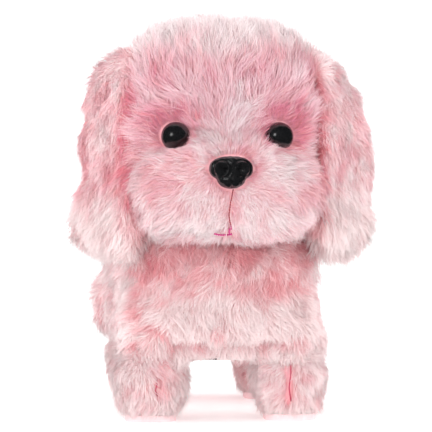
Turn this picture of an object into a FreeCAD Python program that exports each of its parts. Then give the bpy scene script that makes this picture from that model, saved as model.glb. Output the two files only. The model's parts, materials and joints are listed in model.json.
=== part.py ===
import FreeCAD, Part
import math
import os

# Walking plush puppy with a plastic mechanism inside a long-pile cover.
# Row frame: +Z up, the puppy faces -Y, its own left is +X, floor at z = 0. Millimetres.

V = FreeCAD.Vector
os.makedirs("parts", exist_ok=True)

# ---------------------------------------------------------------- driving dimensions
CRANK_Y, CRANK_Z = 0.0, 56.0          # crank axle, along X
HIP_FRONT_Y, HIP_REAR_Y, HIP_Z = -40.0, 52.0, 52.0
LINK_DROP = 14.0                      # link pin below the hip pin
CRANK_R = 3.5                         # throw of the leg cranks
LEG_SWING = 14.5                      # degrees each way
NECK_Y, NECK_Z = -22.0, 70.0          # nod pivot
NOD_THROW = 3.2                       # throw of the nod eccentric
TAIL_Y, TAIL_Z = 56.0, 73.0           # wag pivot, vertical pin
EAR_HINGE_Z = 156.0

# gear train, all axes along X; module, teeth, centre distances
M_OUT, Z_OUT, Z_G2S = 0.6, 40, 12
M_IN, Z_G2L, Z_G1S = 0.5, 36, 12
Z_G1L, Z_MOT = 30, 12
A1, A2, A3 = 10.0, -8.0, 50.0         # directions of the centre lines, degrees from +Y

# plush envelopes: half width, y range, z range
BODY_HX, BODY_Y0, BODY_Y1, BODY_Z0, BODY_Z1 = 47.0, -60.0, 78.0, 28.0, 98.0
HEAD_HX, HEAD_Y0, HEAD_Y1, HEAD_Z0, HEAD_Z1 = 43.5, -84.0, 2.0, 88.0, 180.0
MUZ_HX, MUZ_Y0, MUZ_Y1, MUZ_Z0, MUZ_Z1 = 36.0, -97.0, -50.0, 79.0, 121.0
LEG_X0, LEG_X1, LEG_HY, LEG_Z0, LEG_Z1 = 15.0, 48.0, 15.0, 1.5, 25.5
EYE_X, EYE_Y, EYE_Z, EYE_R = 22.5, -77.0, 127.0, 6.3
NOSE_Z = 111.0

# mechanism casing
CAS_HX, CAS_Y0, CAS_Y1, CAS_Z0, CAS_Z1 = 30.0, -46.0, 62.0, 32.0, 78.0
SKULL_HX, SKULL_Y0, SKULL_Y1, SKULL_Z0, SKULL_Z1 = 28.0, -68.0, -13.0, 98.0, 158.0
SKULL_SPLIT_Y = -41.0


# ---------------------------------------------------------------- helpers
def box(x0, x1, y0, y1, z0, z1):
    return Part.makeBox(x1 - x0, y1 - y0, z1 - z0, V(x0, y0, z0))


def rbox(x0, x1, y0, y1, z0, z1, r):
    b = box(x0, x1, y0, y1, z0, z1)
    return b.makeFillet(r, b.Edges)


def edges_along(shape, axis):
    found = []
    for e in shape.Edges:
        if len(e.Vertexes) == 2:
            d = e.Vertexes[1].Point - e.Vertexes[0].Point
            if d.Length > 1e-6 and abs(abs(d.normalize().dot(axis)) - 1) < 1e-6:
                found.append(e)
    return found


def cyl_x(x0, x1, y, z, r):
    return Part.makeCylinder(r, x1 - x0, V(x0, y, z), V(1, 0, 0))


def cyl_y(y0, y1, x, z, r):
    return Part.makeCylinder(r, y1 - y0, V(x, y0, z), V(0, 1, 0))


def cyl_z(z0, z1, x, y, r):
    return Part.makeCylinder(r, z1 - z0, V(x, y, z0), V(0, 0, 1))


def mirror_x(s):
    return s.mirror(V(0, 0, 0), V(1, 0, 0))


def turned(s, y, z, deg):
    c = s.copy()
    c.rotate(V(0, y, z), V(1, 0, 0), deg)
    return c


def fuse(items):
    out = items[0]
    for s in items[1:]:
        out = out.fuse(s)
    return out.removeSplitter()


def cut(s, tools):
    for t in tools:
        s = s.cut(t)
    return s


def save(name, shape):
    solids = shape.Solids
    out = solids[0] if len(solids) == 1 else Part.makeCompound(solids)
    if not out.isValid():
        print("not valid:", name)
    if min(s.Volume for s in solids) <= 0:
        print("volume:", name)
    out.exportStep("parts/" + name + ".step")
    b = out.BoundBox
    print("%-24s solids %d  vol %9.1f  x %.1f..%.1f y %.1f..%.1f z %.1f..%.1f" % (
        name, len(solids), out.Volume, b.XMin, b.XMax, b.YMin, b.YMax, b.ZMin, b.ZMax))


def prism_x(points, x0, x1):
    pts = [V(x0, y, z) for y, z in points]
    return Part.Face(Part.makePolygon(pts + [pts[0]])).extrude(V(x1 - x0, 0, 0))


def gear(m, z, x0, x1, cy, cz, phase_deg, bore, add=0.78, ded=1.12, play=0.07):
    """Spur gear along X with involute flanks; a tooth is centred on phase_deg, measured from +Y to +Z."""
    a = math.radians(20.0)
    r = m * z / 2.0
    rb, ra, rf = r * math.cos(a), r + add * m, r - ded * m
    inv = math.tan(a) - a
    half = math.pi / (2 * z) - play / (2 * r)
    start = max(rb, rf)
    flank = []
    for i in range(6):
        rr = start + (ra - start) * i / 5.0
        t = math.acos(min(1.0, rb / rr))
        flank.append((rr, half + inv - (math.tan(t) - t)))
    if rf < rb:
        flank.insert(0, (rf, flank[0][1]))
    pts = []
    for k in range(z):
        c = math.radians(phase_deg) + 2 * math.pi * k / z
        for rr, h in flank:
            pts.append((rr, c - h))
        for rr, h in reversed(flank):
            pts.append((rr, c + h))
    yz = [(cy + rr * math.cos(t), cz + rr * math.sin(t)) for rr, t in pts]
    g = prism_x(yz, x0, x1)
    return g.cut(cyl_x(x0 - 1, x1 + 1, cy, cz, bore)) if bore else g


def mesh_phase(phase1, z1, z2, line_deg):
    """Phase of gear 2 so that it meshes with gear 1, seen along the centre line from 1 to 2."""
    return line_deg + 180.0 + 180.0 / z2 + (line_deg - phase1) * z1 / z2


def tube(points, r):
    """Round wire along straight runs joined by tangent arcs, each arc as large as its two runs allow."""
    pts = [V(*p) for p in points]
    edges, start = [], pts[0]
    for i in range(1, len(pts) - 1):
        a, b, c = pts[i - 1], pts[i], pts[i + 1]
        u, w = (b - a), (c - b)
        lu, lw = u.Length, w.Length
        u.normalize(), w.normalize()
        turn = u.getAngle(w)
        radius = 0.45 * min(lu, lw) / math.tan(turn / 2)
        t = radius * math.tan(turn / 2)
        p0, p1 = b - u * t, b + w * t
        mid = (w - u)
        mid.normalize()
        centre = b + mid * (radius / math.cos(turn / 2))
        pm = centre - mid * radius
        edges.append(Part.LineSegment(start, p0).toShape())
        edges.append(Part.Arc(p0, pm, p1).toShape())
        start = p1
    edges.append(Part.LineSegment(start, pts[-1]).toShape())
    wire = Part.Wire(edges)
    d = pts[1] - pts[0]
    prof = Part.Wire([Part.makeCircle(r, pts[0], d)])
    return wire.makePipeShell([prof], True, True)


def screw_x(x_head, x_tip, y, z, r, r_head, head):
    """Pan screw along X; the head lies outward of x_head."""
    s = 1 if x_head > x_tip else -1
    shank = cyl_x(min(x_tip, x_head), max(x_tip, x_head), y, z, r)
    cap = cyl_x(min(x_head, x_head + s * head), max(x_head, x_head + s * head), y, z, r_head)
    slot = box(min(x_head + s * head * 0.5, x_head + s * head), max(x_head + s * head * 0.5, x_head + s * head),
               y - r_head, y + r_head, z - 0.3, z + 0.3)
    slot2 = box(min(x_head + s * head * 0.5, x_head + s * head), max(x_head + s * head * 0.5, x_head + s * head),
                y - 0.3, y + 0.3, z - r_head * 0.7, z + r_head * 0.7)
    slot = slot.common(cyl_x(x_head - 5, x_head + 5, y, z, r_head * 0.7))
    return shank.fuse(cap).cut(slot).cut(slot2)


# ================================================================ gear train
g2y = CRANK_Y + (Z_OUT + Z_G2S) * M_OUT / 2 * math.cos(math.radians(A1))
g2z = CRANK_Z + (Z_OUT + Z_G2S) * M_OUT / 2 * math.sin(math.radians(A1))
g1y = g2y + (Z_G2L + Z_G1S) * M_IN / 2 * math.cos(math.radians(A2))
g1z = g2z + (Z_G2L + Z_G1S) * M_IN / 2 * math.sin(math.radians(A2))
moy = g1y + (Z_G1L + Z_MOT) * M_IN / 2 * math.cos(math.radians(A3))
moz = g1z + (Z_G1L + Z_MOT) * M_IN / 2 * math.sin(math.radians(A3))
print("gear 2 axis y %.4f z %.4f; gear 1 axis y %.4f z %.4f; motor axis y %.4f z %.4f" % (g2y, g2z, g1y, g1z, moy, moz))

PIN_R, AXLE_R = 1.0, 1.5
ph_out = 0.0
ph_g2s = mesh_phase(ph_out, Z_OUT, Z_G2S, A1)
ph_g2l = 3.0
ph_g1s = mesh_phase(ph_g2l, Z_G2L, Z_G1S, A2)
ph_g1l = 5.0
ph_mot = mesh_phase(ph_g1l, Z_G1L, Z_MOT, A3)

output_gear = gear(M_OUT, Z_OUT, 15, 18, CRANK_Y, CRANK_Z, ph_out, AXLE_R)
output_gear = output_gear.fuse(cyl_x(18, 19.6, CRANK_Y, CRANK_Z, 4).cut(cyl_x(17, 21, CRANK_Y, CRANK_Z, AXLE_R))).removeSplitter()
for k in range(5):
    t = 2 * math.pi * k / 5
    output_gear = output_gear.cut(cyl_x(14, 19, CRANK_Y + 7.6 * math.cos(t), CRANK_Z + 7.6 * math.sin(t), 1.8))
save("output_gear", output_gear)

BORE = PIN_R + 0.06
g2 = gear(M_IN, Z_G2L, 11, 13.5, g2y, g2z, ph_g2l, BORE)
g2 = g2.fuse(gear(M_OUT, Z_G2S, 13.5, 18.8, g2y, g2z, ph_g2s, BORE)).removeSplitter()
save("reduction_gear_2", g2)
g1 = gear(M_IN, Z_G1L, 7, 10, g1y, g1z, ph_g1l, BORE)
g1 = g1.fuse(gear(M_IN, Z_G1S, 10, 14, g1y, g1z, ph_g1s, BORE)).removeSplitter()
save("reduction_gear_1", g1)
save("motor_pinion", gear(M_IN, Z_MOT, 6.6, 10.4, moy, moz, ph_mot, 0.98))
save("motor_shaft", cyl_x(-23.2, 10.6, moy, moz, 0.98))

# motor can with two flats, end bell and terminals
can = cyl_x(-20.5, 3.5, moy, moz, 10.0).common(box(-30, 10, moy - 10.1, moy + 10.1, moz - 7.7, moz + 7.7))
can = can.fuse(cyl_x(3.5, 5.2, moy, moz, 3.0))
bell = cyl_x(-22.6, -20.5, moy, moz, 8.6).common(box(-30, 10, moy - 9, moy + 9, moz - 7.0, moz + 7.0))
can = can.cut(cyl_x(-24, 8, moy, moz, 1.05))
bell = bell.cut(cyl_x(-24, 8, moy, moz, 1.05))
terms = fuse([bell, box(-24.4, -22.6, moy - 5.2, moy - 2.8, moz - 0.5, moz + 0.0)])
terms = terms.fuse(box(-24.4, -22.6, moy + 2.8, moy + 5.2, moz - 0.5, moz + 0.0)).removeSplitter()
save("motor_body", can.fuse(terms).removeSplitter())

# gearbox side plates and spacer posts
posts = [(-12.2, 46.2), (-12.2, 72.8), (45.0, 48.0), (13.0, 73.0)]
plate_yz = (-15.4, 48.5, 43.2, 75.6)
inner = box(3.55, 5.5, plate_yz[0], plate_yz[1], plate_yz[2], plate_yz[3])
inner = inner.makeFillet(3, edges_along(inner, V(1, 0, 0)))
outer = box(20.0, 22.0, plate_yz[0], plate_yz[1], plate_yz[2], plate_yz[3])
outer = outer.makeFillet(3, edges_along(outer, V(1, 0, 0)))
holes = [cyl_x(3, 23, CRANK_Y, CRANK_Z, AXLE_R + 0.06), cyl_x(3, 23, g2y, g2z, PIN_R + 0.01), cyl_x(3, 23, g1y, g1z, PIN_R + 0.01)]
inner = cut(inner, holes + [cyl_x(3, 6, moy, moz, 3.05)] + [cyl_x(3, 23, y, z, 1.25) for y, z in posts])
inner = cut(inner, [cyl_x(3, 6, moy + 6.2 * s, moz, 1.1) for s in (-1, 1)])
outer = cut(outer, holes + [cyl_x(3, 23, y, z, 1.25) for y, z in posts])
save("gearbox_inner_plate", inner)
save("gearbox_outer_plate", outer)
save("gearbox_spacers", Part.makeCompound([cyl_x(5.5, 20.0, y, z, 2.4).cut(cyl_x(5, 21, y, z, 1.25)) for y, z in posts]))
gearbox_screws = [screw_x(3.55, 25.6, y, z, 1.2, 2.3, 1.2) for y, z in posts]
save("gear_pins", Part.makeCompound([cyl_x(3.6, 21.9, g2y, g2z, PIN_R), cyl_x(3.6, 21.9, g1y, g1z, PIN_R)]))

# ================================================================ crank shaft
save("crank_axle", cyl_x(-33.4, 33.4, CRANK_Y, CRANK_Z, AXLE_R))


def crank_disc(side, up):
    d = cyl_x(30.8, 33.4, CRANK_Y, CRANK_Z, 7.5)
    d = d.cut(cyl_x(30, 34, CRANK_Y, CRANK_Z, AXLE_R))
    d = d.fuse(cyl_x(33.4, 35.2, CRANK_Y, CRANK_Z + up * CRANK_R, 1.4))
    d = d.cut(cyl_x(33.0, 34, CRANK_Y, CRANK_Z, AXLE_R))
    return d if side > 0 else mirror_x(d)


save("crank_discs", Part.makeCompound([crank_disc(1, 1), crank_disc(-1, -1)]))
nl = math.hypot(CRANK_Y - NECK_Y, CRANK_Z - NECK_Z)
ny, nz = (CRANK_Y - NECK_Y) / nl, (CRANK_Z - NECK_Z) / nl
ecc = cyl_x(-6.5, -3.5, CRANK_Y + ny * NOD_THROW, CRANK_Z + nz * NOD_THROW, 6.0)
ecc = ecc.fuse(cyl_x(-9.0, -6.5, CRANK_Y, CRANK_Z, 3.2)).cut(cyl_x(-10, -3, CRANK_Y, CRANK_Z, AXLE_R))
save("nod_eccentric", ecc.removeSplitter())

# ================================================================ legs, links, soles
SOLE_X0, SOLE_X1, SOLE_HY, SOLE_T = 20.0, 43.0, 11.5, 3.0


def sole(y):
    s = box(SOLE_X0, SOLE_X1, y - SOLE_HY, y + SOLE_HY, 0, SOLE_T)
    s = s.makeFillet(8, edges_along(s, V(0, 0, 1)))
    for k in range(-2, 3):
        s = s.cut(box(SOLE_X0 + 4, SOLE_X1 - 4, y + k * 3.7 - 0.6, y + k * 3.7 + 0.6, -1, 0.8))
    return s


def leg(y):
    plate = box(31.2, 35.0, y - 6, y + 6, 8, HIP_Z).fuse(cyl_x(31.2, 35.0, y, HIP_Z, 6.0))
    foot = box(21.0, 42.0, y - 10.5, y + 10.5, SOLE_T, 9.0)
    foot = foot.makeFillet(6, edges_along(foot, V(0, 0, 1)))
    web = prism_x([(y - 1, 8.5), (y + 1, 8.5), (y + 1, 22), (y - 1, 22)], 26.5, 31.2)
    pin = cyl_x(33.0, 38.2, y, HIP_Z - LINK_DROP, 1.5).fuse(cyl_x(38.2, 39.2, y, HIP_Z - LINK_DROP, 2.4))
    l = fuse([plate, foot, web, pin])
    return l.cut(cyl_x(30, 36, y, HIP_Z, 2.08))


def leg_cover(y):
    c = box(LEG_X0, LEG_X1, y - LEG_HY, y + LEG_HY, LEG_Z0, LEG_Z1)
    c = c.makeFillet(12, edges_along(c, V(0, 0, 1)))
    top = [e for e in c.Edges if e.BoundBox.ZMin > LEG_Z1 - 0.01]
    c = c.makeFillet(11, top)
    low = [e for e in c.Edges if e.BoundBox.ZMax < LEG_Z0 + 0.01]
    c = c.makeFillet(4.6, low)
    c = c.cut(box(SOLE_X0 - 0.3, SOLE_X1 + 0.3, y - SOLE_HY - 0.3, y + SOLE_HY + 0.3, 0, SOLE_T + 0.1))
    c = c.cut(box(20.7, 42.3, y - 10.8, y + 10.8, SOLE_T, 9.3))
    c = c.cut(box(30.9, 35.3, y - 6.3, y + 6.3, 9, 40))
    c = c.cut(box(26.2, 31.2, y - 1.3, y + 1.3, 9, 22.3))
    return c


def hip_pin(y):
    p = cyl_x(24.2, 35.15, y, HIP_Z, 2.0)
    h = cyl_x(35.15, 36.3, y, HIP_Z, 3.6).cut(box(35.8, 37, y - 3, y + 3, HIP_Z - 0.35, HIP_Z + 0.35))
    return p.fuse(h).removeSplitter()


for tag, y in (("front", HIP_FRONT_Y), ("rear", HIP_REAR_Y)):
    for side, f in (("left", lambda s: s), ("right", mirror_x)):
        save("leg_%s_%s" % (tag, side), f(leg(y)))
        save("sole_%s_%s" % (tag, side), f(sole(y)))
        save("leg_cover_%s_%s" % (tag, side), f(leg_cover(y)))
hip_pins = [hip_pin(HIP_FRONT_Y), hip_pin(HIP_REAR_Y)]
hip_pins += [mirror_x(p) for p in hip_pins]

lz = HIP_Z - LINK_DROP
bar = box(35.5, 38.0, HIP_FRONT_Y, HIP_REAR_Y, lz - 3, lz + 3)
bar = fuse([bar, cyl_x(35.5, 38.0, HIP_FRONT_Y, lz, 3.0), cyl_x(35.5, 38.0, HIP_REAR_Y, lz, 3.0),
            box(35.5, 38.0, -5, 5, lz, CRANK_Z + 8)])
bar = cut(bar, [cyl_x(35, 39, HIP_FRONT_Y, lz, 1.56), cyl_x(35, 39, HIP_REAR_Y, lz, 1.56),
                box(35, 39, -1.6, 1.6, CRANK_Z - 5.2, CRANK_Z + 5.2),
                cyl_x(35, 39, 0, CRANK_Z - 5.2, 1.6), cyl_x(35, 39, 0, CRANK_Z + 5.2, 1.6)])
save("leg_link_left", bar)
save("leg_link_right", mirror_x(bar))

# ================================================================ casing halves
cas_out = [(CAS_Y0, CAS_Z0), (CAS_Y1, CAS_Z0), (CAS_Y1, CAS_Z1), (CAS_Y0 + 14, CAS_Z1), (CAS_Y0, CAS_Z1 - 14)]
cas_in = [(CAS_Y0 + 2, CAS_Z0 + 2), (CAS_Y1 - 2, CAS_Z0 + 2), (CAS_Y1 - 2, CAS_Z1 - 2), (CAS_Y0 + 14.8, CAS_Z1 - 2), (CAS_Y0 + 2, CAS_Z1 - 14.8)]
case = prism_x(cas_out, -CAS_HX, CAS_HX)
case = case.makeFillet(5, case.Edges)
room = prism_x(cas_in, -CAS_HX + 2, CAS_HX - 2)
room = room.makeFillet(3, room.Edges)
case = case.cut(room)
bosses = [(-40.0, 39.0), (56.0, 39.0), (56.0, 58.0), (-37.5, 60.0)]
left_add = [cyl_x(0, 28.5, y, z, 3.5) for y, z in bosses] + [cyl_x(22.0, 28.5, y, z, 3.0) for y, z in posts]
left_add += [box(9, 12, NECK_Y - 6, NECK_Y + 6, NECK_Z - 6, 76.5)]
left_add += [cyl_x(24.0, 28.5, y, HIP_Z, 5.0) for y in (HIP_FRONT_Y, HIP_REAR_Y)]
right_add = [cyl_x(-28.5, 0, y, z, 3.5) for y, z in bosses]
right_add += [box(-12, -9, NECK_Y - 6, NECK_Y + 6, NECK_Z - 6, 76.5)]
right_add += [cyl_x(-28.5, -24.0, y, HIP_Z, 5.0) for y in (HIP_FRONT_Y, HIP_REAR_Y)]
right_add += [cyl_z(33.0, 37.4, -19.5, y, 2.4).fuse(cyl_z(37.4, 40.0, -19.5, y, 1.1)) for y in (31, 47.5)]
left = fuse([case.common(box(0, 40, -80, 90, 0, 120))] + left_add)
right = fuse([case.common(box(-40, 0, -80, 90, 0, 120))] + right_add)
through = [cyl_x(-40, 40, CRANK_Y, CRANK_Z, AXLE_R + 0.08)]
through += [cyl_x(-14, 14, NECK_Y, NECK_Z, 2.02)]
neck_slot = box(-8.9, 8.9, NECK_Y - 9.5, NECK_Y + 9.5, 75, 80)
tail_slot = box(-8.0, 8.0, 58, 64, 69.0, 77.0)
tail_hole = cyl_z(75, 79, 0, TAIL_Y, 1.52)
bat_slot = box(-28.1, 28.1, -10.9, 23.9, 30, 36)
lug_slot = box(-5.4, 5.4, 23, 31.0, 30, 36)
grille = [cyl_x(-31, -27, -22 + 3.6 * dy, 50 + 3.6 * dz, 1.1) for dy in range(-2, 3) for dz in range(-2, 3) if dy * dy + dz * dz < 7]
left = cut(left, through + [neck_slot, tail_slot, tail_hole, bat_slot, lug_slot])
right = cut(right, through + [neck_slot, tail_slot, tail_hole, bat_slot, lug_slot] + grille)
for y in (HIP_FRONT_Y, HIP_REAR_Y):
    left = left.cut(cyl_x(24.1, 40, y, HIP_Z, 2.02))
    right = right.cut(cyl_x(-40, -24.1, y, HIP_Z, 2.02))
for y, z in bosses:
    left = cut(left, [cyl_x(-1, 40, y, z, 1.3), cyl_x(27.6, 40, y, z, 2.7)])
    right = right.cut(cyl_x(-10.5, 1, y, z, 1.22))
for y, z in posts:
    left = left.cut(cyl_x(21, 26, y, z, 1.22))
save("casing_left", left)
save("casing_right", right)
save("body_screws", Part.makeCompound([screw_x(27.6, -10.0, y, z, 1.2, 2.5, 1.6) for y, z in bosses] + gearbox_screws))
neck_pin = cyl_x(-12.4, 12.4, NECK_Y, NECK_Z, 2.0)
# shelf that carries the tail pin's lower end, screwed to the casing's rear wall
tail_shelf = box(-6, 6, 50.5, 59.9, 66.8, 68.8).cut(cyl_z(60, 80, 0, TAIL_Y, 1.52))
tail_shelf = tail_shelf.fuse(box(-6, 6, 58.2, 59.9, 62.2, 66.8)).removeSplitter()
save("tail_bracket", tail_shelf)
tail_pin = cyl_z(66.8, 77.9, 0, TAIL_Y, 1.5)
save("pivot_pins", Part.makeCompound([neck_pin, tail_pin] + hip_pins))

# ================================================================ battery box, batteries, door, switch
bb = box(-27.8, 27.8, -10.5, 23.5, 26, 42.5).cut(box(-26.4, 26.4, -9.2, 22.2, 25, 41.3))
bb = bb.fuse(box(-5, 5, 23.5, 30.5, 26, 34)).cut(cyl_z(25, 33, 0, 27.0, 1.9))
bb = bb.fuse(box(-11, 11, -24, -10.5, 26, 28)).cut(box(-4.8, 4.8, -19.3, -15.7, 25, 29))
bb = bb.cut(cyl_z(40, 43, -20.6, 20.0, 1.3)).removeSplitter()
save("battery_box", bb)
BAT_Z = 33.8


def battery(y, flip):
    b = cyl_x(-24.4, 23.9, y, BAT_Z, 7.05).fuse(cyl_x(23.9, 25.2, y, BAT_Z, 2.7))
    b = b.removeSplitter()
    if flip:
        b = b.mirror(V(0.25, 0, 0), V(1, 0, 0))
    return b


save("batteries", Part.makeCompound([battery(-0.8, False), battery(13.9, True)]))
strip = box(25.75, 26.25, -6, 19.1, 30.5, 37.0)


def coil(y):
    h = Part.makeHelix(0.95, 1.0, 3.0)
    prof = Part.Wire([Part.makeCircle(0.3, V(3.0, 0, 0), V(0, 1, 0))])
    s = Part.Wire(h.Edges).makePipeShell([prof], True, True)
    s.rotate(V(0, 0, 0), V(0, 1, 0), 90)
    s.translate(V(-25.85, y, BAT_Z))
    return s


tabs = [box(-26.35, -26.2, y - 4.5, y + 4.5, BAT_Z - 4.5, BAT_Z + 4.5) for y in (-0.8, 13.9)]
save("battery_contacts", Part.makeCompound([strip, coil(-0.8), coil(13.9)] + tabs))

DOOR_HY, DOOR_HZ = -10.6, 25.0        # door hinge line
door = box(-27.8, 27.8, -10.5, 23.5, 24, 25.8).fuse(box(-5, 5, 23.5, 30.5, 24, 25.8))
door = door.fuse(cyl_x(-20, 20, DOOR_HY, DOOR_HZ, 0.9)).removeSplitter()
for k in range(6):
    door = door.cut(box(-8, 8, 12 + k * 1.6, 12.7 + k * 1.6, 23, 24.5))
door = cut(door, [cyl_z(23, 27, 0, 27.0, 1.35), cyl_z(23, 25.1, 0, 27.0, 2.8)])
save("battery_door", door)
dscrew = cyl_z(25.1, 31.0, 0, 27.0, 1.2).fuse(cyl_z(24.1, 25.1, 0, 27.0, 2.6))
dscrew = cut(dscrew, [box(-1.8, 1.8, 26.7, 27.3, 24, 24.6), box(-0.3, 0.3, 25.2, 28.8, 24, 24.6)]).removeSplitter()
save("door_screw", dscrew)

sw = box(-6.6, 6.6, -21.0, -14.0, 28.1, 31.8).cut(box(-4.8, 4.8, -19.3, -15.7, 28, 30.6))
save("slide_switch", sw)
knob = box(-4.5, 0.5, -19.0, -16.0, 24.8, 30.4)
knob = knob.cut(box(-2.4, -1.6, -20, -15, 24, 25.2)).cut(box(-3.8, -3.2, -20, -15, 24, 25.2)).cut(box(-0.8, -0.2, -20, -15, 24, 25.2))
save("switch_knob", knob)

# ================================================================ circuit board, speaker, leads
PCB_Z = 37.4
pcb = box(-22, 20, 26, 50, PCB_Z, PCB_Z + 1.6)
pcb = cut(pcb, [cyl_z(30, 47, -19.5, 31, 1.2), cyl_z(30, 47, -19.5, 47.5, 1.2)])
save("circuit_board", pcb)
top = PCB_Z + 1.6
parts = [Part.makeCylinder(4.0, 1.3, V(-9, 36, top)), Part.makeCylinder(2.4, 6.0, V(-13.5, 45.5, top)),
         box(-2.5, 0.5, 40, 46, top, top + 1.6), box(6, 9, 34, 38, top, top + 1.1), box(11.5, 13.5, 31, 34, top, top + 0.8)]
save("board_components", Part.makeCompound(parts))
SPK_Y, SPK_Z = -22.0, 50.0
spk = cyl_x(-27.9, -26.3, SPK_Y, SPK_Z, 11.5).fuse(cyl_x(-26.3, -24.6, SPK_Y, SPK_Z, 8.6)).fuse(cyl_x(-24.6, -21.8, SPK_Y, SPK_Z, 5.5))
spk = spk.cut(Part.makeCone(9.6, 3.4, 1.3, V(-27.95, SPK_Y, SPK_Z), V(1, 0, 0))).removeSplitter()
save("speaker", spk)
WIRE = 0.55
leads = [tube([(-25.2, moy - 4, moz - 0.25), (-26.2, moy - 4, moz - 4), (-25.6, moy - 2.5, moz - 11), (-21.6, moy - 1.0, 43.6), (-17.2, moy - 1.4, top + 0.7)], WIRE),
         tube([(-25.2, moy + 4, moz - 0.25), (-26.2, moy + 4, moz - 4), (-25.8, moy + 5.5, moz - 11), (-23.0, moy + 7, 44.4), (-18.6, moy + 8.2, top + 0.7)], WIRE),
         tube([(-21.1, -20, 48.2), (-18.6, -14, 46.2), (-17.6, -2, 44.2), (-18.4, 12, 44.4), (-17.6, 24.6, 43.2), (-16.2, 28.6, top + 0.7)], WIRE),
         tube([(-21.1, -24, 48.2), (-16.6, -18, 46.4), (-15.0, -4, 44.4), (-15.8, 10, 44.6), (-14.6, 24.2, 43.4), (-13.2, 28.6, top + 0.7)], WIRE),
         tube([(-20.6, 20.0, 43.2), (-20.8, 21.6, 45.4), (-21.0, 25.0, 44.0), (-20.9, 27.6, top + 0.7)], WIRE)]
save("wiring", Part.makeCompound(leads))

# ================================================================ head
skull = rbox(-SKULL_HX, SKULL_HX, SKULL_Y0, SKULL_Y1, SKULL_Z0, SKULL_Z1, 18.0)
skull = skull.cut(rbox(-SKULL_HX + 2.2, SKULL_HX - 2.2, SKULL_Y0 + 2.2, SKULL_Y1 - 2.2, SKULL_Z0 + 2.2, SKULL_Z1 - 2.2, 15.8))
skull_pts = [(-8.0, -36.5), (8.0, -36.5), (-8.0, -46.0), (8.0, -46.0)]
skull = cut(skull, [cyl_z(97, 101, x, y, 1.25) for x, y in skull_pts])
front = skull.common(box(-40, 40, -90, SKULL_SPLIT_Y, 80, 180))
back = skull.common(box(-40, 40, SKULL_SPLIT_Y, 20, 80, 180))
s_boss = [(-19.0, 112.0), (19.0, 112.0), (-19.0, 146.0), (19.0, 146.0)]
fb = [cyl_y(-52, SKULL_SPLIT_Y, x, z, 3.2) for x, z in s_boss]
bbk = [cyl_y(SKULL_SPLIT_Y, -24, x, z, 3.2) for x, z in s_boss]
ring = rbox(-SKULL_HX + 2.0, SKULL_HX - 2.0, SKULL_Y0 + 2.0, SKULL_Y1 - 2.0, SKULL_Z0 + 2.0, SKULL_Z1 - 2.0, 16.0)
arms_f = [box(min(x, math.copysign(27, x)), max(x, math.copysign(27, x)), -46, SKULL_SPLIT_Y, z - 1.2, z + 1.2).common(ring) for x, z in s_boss]
arms_b = [box(min(x, math.copysign(27, x)), max(x, math.copysign(27, x)), SKULL_SPLIT_Y, -36, z - 1.2, z + 1.2).common(ring) for x, z in s_boss]
front = fuse([front] + fb + arms_f)
back = fuse([back] + bbk + arms_b)
front = cut(front, [cyl_y(-51, -30, x, z, 1.22) for x, z in s_boss])
back = cut(back, [cyl_y(-42, -20, x, z, 1.3) for x, z in s_boss])
save("skull_front", front)
save("skull_back", back)
ss = []
for x, z in s_boss:
    sh = cyl_y(-50.5, -23.9, x, z, 1.2).fuse(cyl_y(-23.9, -22.3, x, z, 2.4))
    ss.append(cut(sh, [box(x - 1.7, x + 1.7, -23.1, -22, z - 0.3, z + 0.3), box(x - 0.3, x + 0.3, -23.1, -22, z - 1.7, z + 1.7)]).removeSplitter())

# neck post: hub on the nod pin, post up to the skull, fork lever down to the eccentric
hub = cyl_x(-8.4, 8.4, NECK_Y, NECK_Z, 5.0)
post = box(-7, 7, NECK_Y - 5, NECK_Y + 5, NECK_Z, 96)
flange = box(-12, 12, -50, -17, 94.6, 97.9)
flange = flange.makeFillet(4, edges_along(flange, V(0, 0, 1)))
ribs = [box(-7, -4.5, -33.6, NECK_Y, 86, 95), box(4.5, 7, -33.6, NECK_Y, 86, 95)]
ux, uz = ny, nz                       # unit vector from the nod pivot to the crank axle
px, pz = -nz, ny


def lever_pt(a, b):
    return (NECK_Y + ux * a + px * b, NECK_Z + uz * a + pz * b)


gap = 6.15
fork = prism_x([lever_pt(0, -5), lever_pt(16, -gap - 3.2), lever_pt(31, -gap - 2.4), lever_pt(31, -gap), lever_pt(19, -gap),
                lever_pt(19, gap), lever_pt(31, gap), lever_pt(31, gap + 2.4), lever_pt(16, gap + 3.2), lever_pt(0, 5)], -3.2, -0.2)
neck = fuse([hub, post, flange] + ribs + [fork])
neck = cut(neck, [cyl_x(-10, 10, NECK_Y, NECK_Z, 2.08)] + [cyl_z(90, 99, x, y, 1.3) for x, y in skull_pts])
save("neck_post", neck)
fs = []
for x, y in skull_pts:
    sh = cyl_z(94.5, 102.5, x, y, 1.2).fuse(cyl_z(93.1, 94.5, x, y, 2.3))
    fs.append(cut(sh, [box(x - 1.6, x + 1.6, y - 0.3, y + 0.3, 93, 93.8), box(x - 0.3, x + 0.3, y - 1.6, y + 1.6, 93, 93.8)]).removeSplitter())
save("head_screws", Part.makeCompound(ss + fs))

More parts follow.
